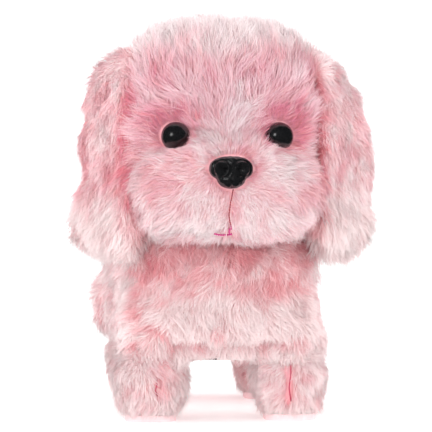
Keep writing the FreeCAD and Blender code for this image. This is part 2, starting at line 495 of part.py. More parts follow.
def lobe(z, rx, rz, y0, y1, r):
    """Oval prism along Y drawn with four arcs, its front edge rounded."""
    r1 = 0.74 * rz
    cx = rx - r1
    r2 = (cx * cx + rz * rz - r1 * r1) / (2 * (rz - r1))
    k = r2 / math.hypot(cx, r2 - rz)
    tx, tz = cx * k, (rz - r2) + (r2 - rz) * k

    def pt(x, dz):
        return V(x, y1, z + dz)
    arcs = [Part.Arc(pt(tx, tz), pt(rx, 0), pt(tx, -tz)), Part.Arc(pt(tx, -tz), pt(0, -rz), pt(-tx, -tz)),
            Part.Arc(pt(-tx, -tz), pt(-rx, 0), pt(-tx, tz)), Part.Arc(pt(-tx, tz), pt(0, rz), pt(tx, tz))]
    solid = Part.Face(Part.Wire([c.toShape() for c in arcs])).extrude(V(0, y0 - y1, 0))
    return solid.makeFillet(r, [e for e in solid.Edges if e.BoundBox.YMax < y0 + 0.01])


def nose_form(grow):
    """Wide upper lobe over a narrower lower one; grow widens it all round."""
    n = lobe(NOSE_Z + 1.2, 9.5 + grow, 5.7 + grow, -100 - grow, -91, 2.2)
    return n.fuse(lobe(NOSE_Z - 2.6, 6.6 + grow, 4.6 + grow, -99.6 - grow, -91, 2.0))


# head cover: pile envelope, hollow round the skull
head_out = rbox(-HEAD_HX, HEAD_HX, HEAD_Y0, HEAD_Y1, HEAD_Z0, HEAD_Z1, 40.0)
muz_out = rbox(-MUZ_HX, MUZ_HX, MUZ_Y0, MUZ_Y1, MUZ_Z0, MUZ_Z1, 18.0)
head_solid = head_out.fuse(muz_out).removeSplitter()
cavity = rbox(-HEAD_HX + 8, HEAD_HX - 8, HEAD_Y0 + 8, HEAD_Y1 - 8, HEAD_Z0 + 7, HEAD_Z1 - 8, 28.0)
stuff_room = rbox(-24, 24, -87.6, -73, 91, 113, 5.8)
hc = head_solid.cut(cavity).cut(stuff_room)
hc = hc.cut(box(-14, 14, -52, -14, 84, 100))
for s in (-1, 1):
    hc = hc.cut(Part.makeSphere(EYE_R + 0.2, V(s * EYE_X, EYE_Y, EYE_Z)))
    hc = hc.cut(cyl_y(-74, -62, s * EYE_X, EYE_Z, 5.4))
hc = hc.cut(cyl_y(-97.5, -84, 0, NOSE_Z, 2.7)).cut(cyl_y(-90.5, -80, 0, NOSE_Z, 7.0))
hc = hc.cut(nose_form(0.3))
save("head_cover", hc)
ms = rbox(-23.7, 23.7, -87.3, -75.0, 91.3, 112.7, 5.5)
ms = ms.cut(cavity)
ms = ms.cut(cyl_y(-92, -80, 0, NOSE_Z, 7.0))
save("muzzle_stuffing", ms)

for side, s in (("left", 1), ("right", -1)):
    e = Part.makeSphere(EYE_R, V(s * EYE_X, EYE_Y, EYE_Z)).fuse(cyl_y(EYE_Y, -67.2, s * EYE_X, EYE_Z, 2.0)).removeSplitter()
    save("eye_" + side, e)
washers = [cyl_y(-70.2, -68.8, s * EYE_X, EYE_Z, 5.0).cut(cyl_y(-72, -66, s * EYE_X, EYE_Z, 2.05)).cut(Part.makeSphere(EYE_R + 0.05, V(s * EYE_X, EYE_Y, EYE_Z))) for s in (1, -1)]
nose = nose_form(0.0)
for s in (-1, 1):
    nose = nose.cut(cyl_y(-102, -98.6, s * 4.0, NOSE_Z + 0.8, 1.5))
nose = nose.fuse(cyl_y(-94.5, -84.4, 0, NOSE_Z, 2.5))
save("nose", nose)
washers.append(cyl_y(-88.6, -87.2, 0, NOSE_Z, 5.5).cut(cyl_y(-90, -86, 0, NOSE_Z, 2.55)))
save("snap_washers", Part.makeCompound(washers))

# mouth stitching: a thread down the muzzle's middle and a short cross stitch at its end
TH = 0.3
arc_r = 18.0 + TH + 0.1
cy_, cz_ = MUZ_Y0 + 18.0, MUZ_Z0 + 18.0
a_end = math.radians(52.0)
p0, p1 = V(0, cy_ - arc_r, 103.2), V(0, cy_ - arc_r, cz_)
pm = V(0, cy_ - arc_r * math.cos(a_end / 2), cz_ - arc_r * math.sin(a_end / 2))
p2 = V(0, cy_ - arc_r * math.cos(a_end), cz_ - arc_r * math.sin(a_end))
w = Part.Wire([Part.LineSegment(p0, p1).toShape(), Part.Arc(p1, pm, p2).toShape()])
thread = w.makePipeShell([Part.Wire([Part.makeCircle(TH, p0, V(0, 0, -1))])], True, True)
cross = cyl_x(-4.5, 3.0, p2.y, p2.z, TH)
save("mouth_stitching", fuse([thread, cross]))


# ears: hanging flaps, turned forward towards the tip
def rrect(cx, cy, z, w, t, yaw, r):
    """Rounded rectangle w along the flap and t thick, its front edge turned inward by yaw degrees."""
    c, s = math.cos(math.radians(yaw)), math.sin(math.radians(yaw))

    def pt(u, n):
        return V(cx + u * s + n * c, cy + u * c - n * s, z)
    hw, ht = w / 2, t / 2
    k = r * (1 - math.sqrt(0.5))
    edges = []
    corners = [((hw, ht), (1, 1)), ((-hw, ht), (-1, 1)), ((-hw, -ht), (-1, -1)), ((hw, -ht), (1, -1))]
    seq = [(pt(hw, -ht + r), pt(hw, ht - r), pt(hw - k, ht - k), pt(hw - r, ht)),
           (pt(hw - r, ht), pt(-hw + r, ht), pt(-hw + k, ht - k), pt(-hw, ht - r)),
           (pt(-hw, ht - r), pt(-hw, -ht + r), pt(-hw + k, -ht + k), pt(-hw + r, -ht)),
           (pt(-hw + r, -ht), pt(hw - r, -ht), pt(hw - k, -ht + k), pt(hw, -ht + r))]
    for a, b, m, e in seq:
        edges.append(Part.LineSegment(a, b).toShape())
        edges.append(Part.Arc(b, m, e).toShape())
    return Part.Wire(edges)


EAR = [  # z, centre x, centre y, width, thickness, yaw
    (158.0, 47.6, -43.0, 26.0, 7.0, 6.0),
    (150.0, 50.6, -43.0, 32.0, 11.0, 8.0),
    (136.0, 52.6, -44.0, 37.0, 13.0, 13.0),
    (118.0, 53.6, -46.0, 40.0, 13.5, 19.0),
    (98.0, 54.6, -48.0, 43.0, 14.0, 25.0),
    (84.0, 54.2, -49.0, 43.0, 14.0, 27.0),
    (74.0, 53.4, -49.0, 36.0, 12.0, 27.0),
    (69.0, 53.0, -49.0, 26.0, 8.0, 27.0),
]
wires = [rrect(cx, cy, z, w_, t_, yaw, t_ * 0.42) for z, cx, cy, w_, t_, yaw in EAR]
ear = Part.makeLoft(wires, True, False)
save("ear_left", ear)
save("ear_right", mirror_x(ear))

# ================================================================ body cover
body_up = rbox(-BODY_HX, BODY_HX, BODY_Y0, BODY_Y1, BODY_Z0, BODY_Z1, 34.0)
low = box(-BODY_HX, BODY_HX, BODY_Y0, BODY_Y1, BODY_Z0, 66)
low = low.makeFillet(22, edges_along(low, V(0, 0, 1)))
low = low.makeFillet(8, [e for e in low.Edges if e.BoundBox.ZMax < BODY_Z0 + 0.01])
low_top = [e for e in low.Edges if e.BoundBox.ZMin > 66 - 0.01]
low = low.makeFillet(8, low_top)
body = body_up.fuse(low)
cav_up = rbox(-BODY_HX + 6, BODY_HX - 6, BODY_Y0 + 6, BODY_Y1 - 6, BODY_Z0 + 3, BODY_Z1 - 6, 28.0)
cav_low = box(-BODY_HX + 6, BODY_HX - 6, BODY_Y0 + 6, BODY_Y1 - 6, BODY_Z0 + 3, 64)
cav_low = cav_low.makeFillet(14, edges_along(cav_low, V(0, 0, 1)))
body = body.cut(cav_up).cut(cav_low)
# room for the head, which nods about the neck pin
grow = 1.6
big_head = rbox(-HEAD_HX - grow, HEAD_HX + grow, HEAD_Y0 - grow, HEAD_Y1 + grow, HEAD_Z0 - grow, HEAD_Z1 + grow, 40.0)
big_muz = rbox(-MUZ_HX - grow, MUZ_HX + grow, MUZ_Y0 - grow, MUZ_Y1 + grow, MUZ_Z0 - grow, MUZ_Z1 + grow, 18.0)
for deg in (-7.2, -3.6, 0.0, 3.6, 7.2):
    body = body.cut(turned(big_head, NECK_Y, NECK_Z, deg)).cut(turned(big_muz, NECK_Y, NECK_Z, deg))
body = body.cut(box(-15, 15, -54, -9, 80, 100))
# belly opening for the battery box, door and switch; leg slots; tail opening
body = body.cut(box(-29.5, 29.5, -12, 25.2, 20, 34)).cut(box(-7, 7, 24, 32.2, 20, 36)).cut(box(-12, 12, -25, -11, 20, 34))
for y in (HIP_FRONT_Y, HIP_REAR_Y):
    for s in (-1, 1):
        x0, x1 = sorted((s * 29.0, s * 38.0))
        body = body.cut(box(x0, x1, y - 13.5, y + 13.5, 20, 36))
        x0, x1 = sorted((s * 25.5, s * 32.0))
        body = body.cut(box(x0, x1, y - 9.5, y + 9.5, 20, 36))
body = body.cut(box(-10.5, 10.5, 58, 82, 67, 92))
save("body_cover", body)

# ================================================================ tail
hub = cyl_z(69.4, 72.6, 0, TAIL_Y, 4.2)
arm = box(-2.3, 2.3, TAIL_Y, 67.0, 69.8, 72.6)
q0, q1 = V(0, 66.0, 71.2), V(0, 87.0, 92.0)
rod = Part.makeCylinder(2.0, (q1 - q0).Length, q0, q1 - q0).fuse(Part.makeSphere(2.0, q1)).fuse(Part.makeSphere(2.0, q0))
lever = fuse([hub, arm, rod]).cut(cyl_z(60, 80, 0, TAIL_Y, 1.56))
save("tail_lever", lever)
T0, T1, TR0, TR1 = V(0, 86.0, 87.0), V(0, 88.0, 105.0), 11.0, 12.0
d = T1 - T0
puff = Part.makeSphere(TR0, T0).fuse(Part.makeSphere(TR1, T1)).fuse(Part.makeCone(TR0, TR1, d.Length, T0, d))
puff = puff.removeSplitter()
rod_room = Part.makeCylinder(2.25, (q1 - q0).Length, q0, q1 - q0).fuse(Part.makeSphere(2.25, q1))
puff = puff.cut(rod_room)
save("tail_cover", puff)
# torsion spring on the tail pin, between the lever's hub and the casing roof
ts = Part.Wire(Part.makeHelix(0.8, 2.0, 2.5).Edges).makePipeShell([Part.Wire([Part.makeCircle(0.3, V(2.5, 0, 0), V(0, 1, 0))])], True, True)
ts.translate(V(0, TAIL_Y, 73.3))
save("tail_spring", ts)
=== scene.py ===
import bpy
import bmesh
import math
import numpy as np
from mathutils import Vector, Matrix
from mathutils.kdtree import KDTree
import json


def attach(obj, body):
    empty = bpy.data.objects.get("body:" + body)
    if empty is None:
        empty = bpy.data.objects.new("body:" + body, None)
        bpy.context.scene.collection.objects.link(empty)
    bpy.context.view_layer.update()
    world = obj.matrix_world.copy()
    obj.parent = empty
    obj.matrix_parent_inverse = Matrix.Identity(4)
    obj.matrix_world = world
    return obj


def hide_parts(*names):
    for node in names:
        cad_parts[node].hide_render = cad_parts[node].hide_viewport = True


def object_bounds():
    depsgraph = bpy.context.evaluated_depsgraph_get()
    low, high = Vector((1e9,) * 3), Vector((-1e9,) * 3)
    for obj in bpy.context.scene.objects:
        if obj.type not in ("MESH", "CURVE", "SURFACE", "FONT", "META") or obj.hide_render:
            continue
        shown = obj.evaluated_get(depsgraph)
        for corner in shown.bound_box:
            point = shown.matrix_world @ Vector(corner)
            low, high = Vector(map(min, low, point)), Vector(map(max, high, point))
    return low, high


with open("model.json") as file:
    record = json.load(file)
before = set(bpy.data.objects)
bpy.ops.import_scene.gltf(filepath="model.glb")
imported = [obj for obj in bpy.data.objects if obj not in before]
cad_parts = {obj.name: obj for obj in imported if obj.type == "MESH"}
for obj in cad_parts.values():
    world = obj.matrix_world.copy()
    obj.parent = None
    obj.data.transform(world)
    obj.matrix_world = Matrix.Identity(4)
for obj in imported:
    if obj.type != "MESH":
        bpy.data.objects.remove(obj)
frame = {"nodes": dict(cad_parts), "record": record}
CAD_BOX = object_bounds()
MM = 0.001
TAU = 2 * math.pi


# ------------------------------------------------------------------ small maths
def lin(r, g, b):
    """sRGB 0-255 to linear, with alpha 1."""
    out = []
    for c in (r, g, b):
        c = c / 255.0
        out.append(c / 12.92 if c <= 0.04045 else ((c + 0.055) / 1.055) ** 2.4)
    return (*out, 1.0)


def unit(v):
    return v / np.maximum(np.linalg.norm(v, axis=-1, keepdims=True), 1e-9)


def sstep(x, a, b):
    t = np.clip((x - a) / (b - a), 0, 1)
    return t * t * (3 - 2 * t)


def wave(P, seed, length, n=6):
    """Smooth noise of about unit size at points P in mm; length is the size of its lumps."""
    r = np.random.default_rng(seed)
    out = np.zeros(len(P))
    for _ in range(n):
        k = unit(r.normal(size=3)) * TAU / (length * r.uniform(0.75, 1.5))
        out += np.sin(P @ k + r.uniform(0, TAU))
    return out * math.sqrt(2.0 / n)


def wave3(P, seed, length, n=6):
    return np.stack([wave(P, seed * 7 + i, length, n) for i in range(3)], 1)


# ------------------------------------------------------------------ meshes
def new_object(name, verts, faces, mats=(), smooth=True):
    me = bpy.data.meshes.new(name)
    me.from_pydata([tuple(v) for v in verts], [], [tuple(f) for f in faces])
    me.update()
    if smooth:
        me.polygons.foreach_set("use_smooth", [True] * len(me.polygons))
    ob = bpy.data.objects.new(name, me)
    bpy.context.scene.collection.objects.link(ob)
    for m in mats:
        me.materials.append(m)
    return ob


def from_arrays(name, co, loops, starts, uv, mats, normals=None, smooth=True):
    """A mesh from flat arrays: vertices, loop vertex indices, polygon starts, a UV per loop, a normal per vertex."""
    me = bpy.data.meshes.new(name)
    me.vertices.add(len(co))
    me.vertices.foreach_set("co", np.ascontiguousarray(co, np.float32).ravel())
    me.loops.add(len(loops))
    me.loops.foreach_set("vertex_index", loops.astype(np.int32))
    me.polygons.add(len(starts))
    me.polygons.foreach_set("loop_start", starts.astype(np.int32))
    layer = me.uv_layers.new(name="OFBake")
    layer.data.foreach_set("uv", np.ascontiguousarray(uv, np.float32).ravel())
    me.update(calc_edges=True)
    me.polygons.foreach_set("use_smooth", np.full(len(starts), smooth))
    me.update()
    if normals is not None:
        me.normals_split_custom_set_from_vertices(normals.tolist())
    ob = bpy.data.objects.new(name, me)
    bpy.context.scene.collection.objects.link(ob)
    for m in mats:
        me.materials.append(m)
    return ob


_ico = {}


def ico(sub):
    if sub not in _ico:
        bm = bmesh.new()
        bmesh.ops.create_icosphere(bm, subdivisions=sub, radius=1.0)
        bm.verts.ensure_lookup_table()
        _ico[sub] = (np.array([v.co for v in bm.verts], float), np.array([[v.index for v in f.verts] for f in bm.faces]))
        bm.free()
    return _ico[sub]


def super_ell(P, c, r, p=2.0):
    q = np.abs((P - np.array(c)) / np.array(r)) ** p
    return (q.sum(1) ** (1.0 / p) - 1.0) * min(r)


def round_box(P, c, h, r):
    q = np.abs(P - np.array(c)) - (np.array(h) - r)
    return np.linalg.norm(np.maximum(q, 0), axis=1) + np.minimum(q.max(1), 0) - r


def smin(a, b, k):
    h = np.clip(0.5 + 0.5 * (b - a) / k, 0, 1)
    return b * (1 - h) + a * h - k * h * (1 - h)


def radial(centre, sdf, rmax, sub=6, steps=60):
    """Skin seen from its centre: the outermost crossing of sdf along each direction. Millimetres."""
    D, F = ico(sub)
    c = np.array(centre, float)
    r_out = np.full(len(D), float(rmax))
    r_in = np.zeros(len(D))
    found = np.zeros(len(D), bool)
    prev = float(rmax)
    for i in range(1, steps + 1):
        r = rmax * (1 - i / steps)
        inside = sdf(c + D * r) < 0
        hit = inside & ~found
        r_in[hit], r_out[hit] = r, prev
        found |= hit
        prev = r
    for _ in range(14):
        m = 0.5 * (r_in + r_out)
        inside = sdf(c + D * m[:, None]) < 0
        r_in = np.where(inside, m, r_in)
        r_out = np.where(inside, r_out, m)
    return c + D * r_in[:, None], F


def loft(rings):
    """Closed skin from rings of equal length, each an (n, 3) array, with a pole at each end."""
    n = len(rings[0])
    V = np.concatenate([*rings, rings[0].mean(0, keepdims=True), rings[-1].mean(0, keepdims=True)])
    F = []
    for i in range(len(rings) - 1):
        for j in range(n):
            k = (j + 1) % n
            F.append((i * n + j, i * n + k, (i + 1) * n + k, (i + 1) * n + j))
    a, b = len(V) - 2, len(V) - 1
    last = (len(rings) - 1) * n
    for j in range(n):
        k = (j + 1) % n
        F.append((a, k, j))
        F.append((b, last + j, last + k))
    return V, F


def triangles(V, F):
    T = []
    for f in F:
        for i in range(1, len(f) - 1):
            T.append((f[0], f[i], f[i + 1]))
    T = np.array(T)
    N = np.zeros_like(V)
    fn = np.cross(V[T[:, 1]] - V[T[:, 0]], V[T[:, 2]] - V[T[:, 0]])
    for i in range(3):
        np.add.at(N, T[:, i], fn)
    return T, unit(N)


def outward(V, F):
    """Faces turned so that they face out of a closed skin."""
    T = np.array([(f[0], f[1], f[2]) for f in F])
    c = V.mean(0)
    fn = np.cross(V[T[:, 1]] - V[T[:, 0]], V[T[:, 2]] - V[T[:, 0]])
    return F if (fn * (V[T[:, 0]] - c)).sum() > 0 else [tuple(reversed(f)) for f in F]


# ------------------------------------------------------------------ materials
def material(name):
    m = bpy.data.materials.new(name)
    m.use_nodes = True
    nt = m.node_tree
    return m, nt, nt.nodes["Principled BSDF"]


def ramp(nt, stops, interp="LINEAR"):
    n = nt.nodes.new("ShaderNodeValToRGB")
    n.color_ramp.interpolation = interp
    els = n.color_ramp.elements
    els[0].position, els[0].color = stops[0]
    els[1].position, els[1].color = stops[-1]
    for pos, col in stops[1:-1]:
        e = els.new(pos)
        e.color = col
    return n


def maths(nt, op, a, b=None, clamp=False):
    n = nt.nodes.new("ShaderNodeMath")
    n.operation = op
    n.use_clamp = clamp
    for i, x in enumerate((a, b)):
        if x is None:
            continue
        if isinstance(x, (int, float)):
            n.inputs[i].default_value = x
        else:
            nt.links.new(x, n.inputs[i])
    return n.outputs[0]


def mix(nt, fac, a, b, mode="MIX"):
    n = nt.nodes.new("ShaderNodeMix")
    n.data_type = "RGBA"
    n.blend_type = mode
    for sock, x in ((n.inputs[0], fac), (n.inputs[6], a), (n.inputs[7], b)):
        if isinstance(x, (int, float, tuple)):
            sock.default_value = x
        else:
            nt.links.new(x, sock)
    return n.outputs[2]


def pile_material(name="acrylic_pile", painted_shade=None):
    """Acrylic pile. The map's first coordinate picks the fibre's shade, the second runs from its root to its tip. An
    optional multiplier darkens the whole colour as painted shade.
    """
    m, nt, p = material(name)
    uv = nt.nodes.new("ShaderNodeUVMap")
    uv.uv_map = "OFBake"
    sep = nt.nodes.new("ShaderNodeSeparateXYZ")
    nt.links.new(uv.outputs[0], sep.inputs[0])
    u, v = sep.outputs[0], sep.outputs[1]
    cool = maths(nt, "GREATER_THAN", u, 0.5)
    t = maths(nt, "FRACT", maths(nt, "MULTIPLY", u, 2.0))
    warm_tip = ramp(nt, [(0.045, (0.80, 0.22, 0.26, 1)), (0.16, (0.90, 0.38, 0.41, 1)), (0.35, (0.935, 0.54, 0.56, 1)), (0.7, (0.965, 0.71, 0.72, 1)), (1.0, (0.988, 0.885, 0.875, 1))])
    cool_tip = ramp(nt, [(0.045, (0.74, 0.21, 0.31, 1)), (0.16, (0.87, 0.38, 0.46, 1)), (0.35, (0.92, 0.54, 0.61, 1)), (0.7, (0.96, 0.71, 0.75, 1)), (1.0, (0.984, 0.872, 0.88, 1))])
    for r in (warm_tip, cool_tip):
        nt.links.new(t, r.inputs[0])
    tip = mix(nt, cool, warm_tip.outputs[0], cool_tip.outputs[0])
    root = mix(nt, cool, (0.92, 0.38, 0.41, 1), (0.90, 0.40, 0.48, 1))
    root = mix(nt, maths(nt, "MULTIPLY", t, 0.6), root, tip)
    along = ramp(nt, [(0.0, (0, 0, 0, 1)), (0.3, (0.2, 0.2, 0.2, 1)), (0.7, (0.84, 0.84, 0.84, 1)), (1.0, (1, 1, 1, 1))])
    nt.links.new(v, along.inputs[0])
    col = mix(nt, along.outputs[0], root, tip)
    if painted_shade:
        col = mix(nt, 1.0, col, (*painted_shade, 1), "MULTIPLY")
    nt.links.new(col, p.inputs["Base Color"])
    p.inputs["Roughness"].default_value = 0.8
    p.inputs["Specular IOR Level"].default_value = 0.0
    return m


def skin_material():
    """Knitted backing under the pile, with cut-pile stubble."""
    m, nt, p = material("plush_backing")
    tc = nt.nodes.new("ShaderNodeTexCoord")
    n1 = nt.nodes.new("ShaderNodeTexNoise")
    n1.inputs["Scale"].default_value = 90.0
    n1.inputs["Detail"].default_value = 6.0
    nt.links.new(tc.outputs["Object"], n1.inputs["Vector"])
    r = ramp(nt, [(0.3, (0.94, 0.42, 0.46, 1)), (0.6, (0.96, 0.50, 0.54, 1)), (0.8, (0.97, 0.58, 0.62, 1))])
    nt.links.new(n1.outputs["Fac"], r.inputs[0])
    nt.links.new(r.outputs[0], p.inputs["Base Color"])
    n2 = nt.nodes.new("ShaderNodeTexNoise")
    n2.inputs["Scale"].default_value = 1400.0
    nt.links.new(tc.outputs["Object"], n2.inputs["Vector"])
    b = nt.nodes.new("ShaderNodeBump")
    b.inputs["Strength"].default_value = 0.6
    b.inputs["Distance"].default_value = 0.0006
    nt.links.new(n2.outputs["Fac"], b.inputs["Height"])
    nt.links.new(b.outputs[0], p.inputs["Normal"])
    p.inputs["Roughness"].default_value = 0.9
    return m


def hard(name, dark, light, rough, spec=0.5, metal=0.0, scale=300.0, bump=0.0, coat=0.0):
    """Moulded or metal surface: fine mottling between two shades, with an optional grain."""
    m, nt, p = material(name)
    tc = nt.nodes.new("ShaderNodeTexCoord")
    n = nt.nodes.new("ShaderNodeTexNoise")
    n.inputs["Scale"].default_value = scale
    n.inputs["Detail"].default_value = 4.0
    nt.links.new(tc.outputs["Object"], n.inputs["Vector"])
    r = ramp(nt, [(0.3, (*dark, 1)), (0.7, (*light, 1))])
    nt.links.new(n.outputs["Fac"], r.inputs[0])
    nt.links.new(r.outputs[0], p.inputs["Base Color"])
    p.inputs["Roughness"].default_value = rough
    p.inputs["Specular IOR Level"].default_value = spec
    p.inputs["Metallic"].default_value = metal
    p.inputs["Coat Weight"].default_value = coat
    if bump:
        g = nt.nodes.new("ShaderNodeTexVoronoi")
        g.inputs["Scale"].default_value = scale * 5
        nt.links.new(tc.outputs["Object"], g.inputs["Vector"])
        b = nt.nodes.new("ShaderNodeBump")
        b.inputs["Strength"].default_value = bump
        b.inputs["Distance"].default_value = 0.0002
        nt.links.new(g.outputs["Distance"], b.inputs["Height"])
        nt.links.new(b.outputs[0], p.inputs["Normal"])
    return m


def thread_material():
    """Dark red down the muzzle, magenta in the cross stitch at its foot."""
    m, nt, p = material("stitching_thread")
    tc = nt.nodes.new("ShaderNodeTexCoord")
    sep = nt.nodes.new("ShaderNodeSeparateXYZ")
    nt.links.new(tc.outputs["Object"], sep.inputs[0])
    z = maths(nt, "MULTIPLY", sep.outputs[2], 10.0)
    r = ramp(nt, [(0.0, (0.62, 0.04, 0.24, 1)), (0.880, (0.62, 0.04, 0.24, 1)), (0.892, (0.36, 0.045, 0.055, 1)), (1.0, (0.30, 0.04, 0.05, 1))])
    nt.links.new(z, r.inputs[0])
    n = nt.nodes.new("ShaderNodeTexNoise")
    n.inputs["Scale"].default_value = 2500.0
    nt.links.new(tc.outputs["Object"], n.inputs["Vector"])
    v = ramp(nt, [(0.3, (0.8, 0.8, 0.8, 1)), (0.7, (1, 1, 1, 1))])
    nt.links.new(n.outputs["Fac"], v.inputs[0])
    nt.links.new(mix(nt, 1.0, r.outputs[0], v.outputs[0], "MULTIPLY"), p.inputs["Base Color"])
    p.inputs["Roughness"].default_value = 0.75
    return m


PILE = pile_material()
# The head's pile is the same pile multiplied darker: painted shade that evens the head's brightness with the body's.
HEAD_PILE_PAINTED_SHADE = pile_material("acrylic_pile_head_painted_shade", (0.925, 0.95, 0.955))
THREAD = thread_material()
NOSE_BLACK = hard("nose_black", (0.005, 0.0052, 0.0058), (0.009, 0.0092, 0.010), 0.24, 0.95, bump=0.12, scale=500)
EYE_BLACK = hard("eye_black", (0.005, 0.0052, 0.006), (0.008, 0.0082, 0.009), 0.18, 0.85, scale=200)
SEAM = hard("seam_thread", (0.42, 0.05, 0.09), (0.56, 0.09, 0.15), 0.85, 0.15, scale=1500)
FINISH = {
    "mouth_thread": THREAD,
    "eye_plastic": EYE_BLACK,
    "nose_plastic": NOSE_BLACK,
    "sole_rubber": hard("sole_rubber", (0.93, 0.66, 0.68), (0.96, 0.73, 0.745), 0.8, 0.2, bump=0.3),
    "casing_plastic": hard("casing_plastic", (0.80, 0.80, 0.78), (0.86, 0.86, 0.84), 0.42),
    "leg_plastic": hard("leg_plastic", (0.82, 0.81, 0.78), (0.88, 0.87, 0.85), 0.45),
    "gear_plastic": hard("gear_plastic", (0.85, 0.84, 0.80), (0.91, 0.90, 0.87), 0.35),
    "steel": hard("steel", (0.50, 0.50, 0.51), (0.62, 0.62, 0.63), 0.32, metal=1.0),
    "motor_steel": hard("motor_steel", (0.52, 0.52, 0.50), (0.66, 0.66, 0.64), 0.38, metal=1.0),
    "brass": hard("brass", (0.72, 0.50, 0.20), (0.84, 0.62, 0.28), 0.3, metal=1.0),
    "washer_plastic": hard("washer_plastic", (0.78, 0.78, 0.76), (0.86, 0.86, 0.84), 0.4),
    "battery_jacket": hard("battery_jacket", (0.05, 0.11, 0.20), (0.07, 0.14, 0.25), 0.3),
    "contact_steel": hard("contact_steel", (0.62, 0.61, 0.58), (0.74, 0.73, 0.70), 0.25, metal=1.0),
    "switch_plastic": hard("switch_plastic", (0.03, 0.03, 0.032), (0.05, 0.05, 0.053), 0.4),
    "board": hard("board", (0.02, 0.16, 0.07), (0.03, 0.22, 0.10), 0.4),
    "components": hard("components", (0.02, 0.02, 0.02), (0.10, 0.09, 0.08), 0.4, scale=900),
    "speaker": hard("speaker", (0.03, 0.03, 0.03), (0.07, 0.07, 0.07), 0.6),
    "wire": hard("wire", (0.45, 0.03, 0.03), (0.55, 0.05, 0.05), 0.4),
    "stuffing": hard("stuffing", (0.86, 0.86, 0.85), (0.95, 0.95, 0.94), 0.95, bump=0.8),
}
PLAIN_PLUSH = hard("plush_under", (0.94, 0.44, 0.48), (0.97, 0.56, 0.60), 0.9, 0.2, bump=0.5)
for part in frame["record"]["subparts"]:
    ob = frame["nodes"][part["node"]]
    ob.data.materials.clear()
    ob.data.materials.append(FINISH.get(part["material_slot"], PLAIN_PLUSH))
BACKING = skin_material()


# ------------------------------------------------------------------ pile
class Skin:
    def __init__(self, V, F):
        self.F = outward(V, [tuple(int(i) for i in f) for f in F])
        self.V = V
        self.T, self.N = triangles(V, self.F)
        a, b, c = (V[self.T[:, i]] for i in range(3))
        self.area = 0.5 * np.linalg.norm(np.cross(b - a, c - a), axis=1)
        self.mid = (a + b + c) / 3

    def sample(self, n, weight, rng):
        w = self.area * weight(self.mid)
        i = rng.choice(len(w), size=n, p=w / w.sum())
        r1, r2 = np.sqrt(rng.random(n)), rng.random(n)
        k = np.stack([1 - r1, r1 * (1 - r2), r1 * r2], 1)[:, :, None]
        tri = self.T[i]
        P = (self.V[tri] * k).sum(1)
        N = unit((self.N[tri] * k).sum(1))
        return P, N

    def object(self, name):
        ob = new_object(name, self.V * MM, self.F, [BACKING])
        return ob


TIPS = {}


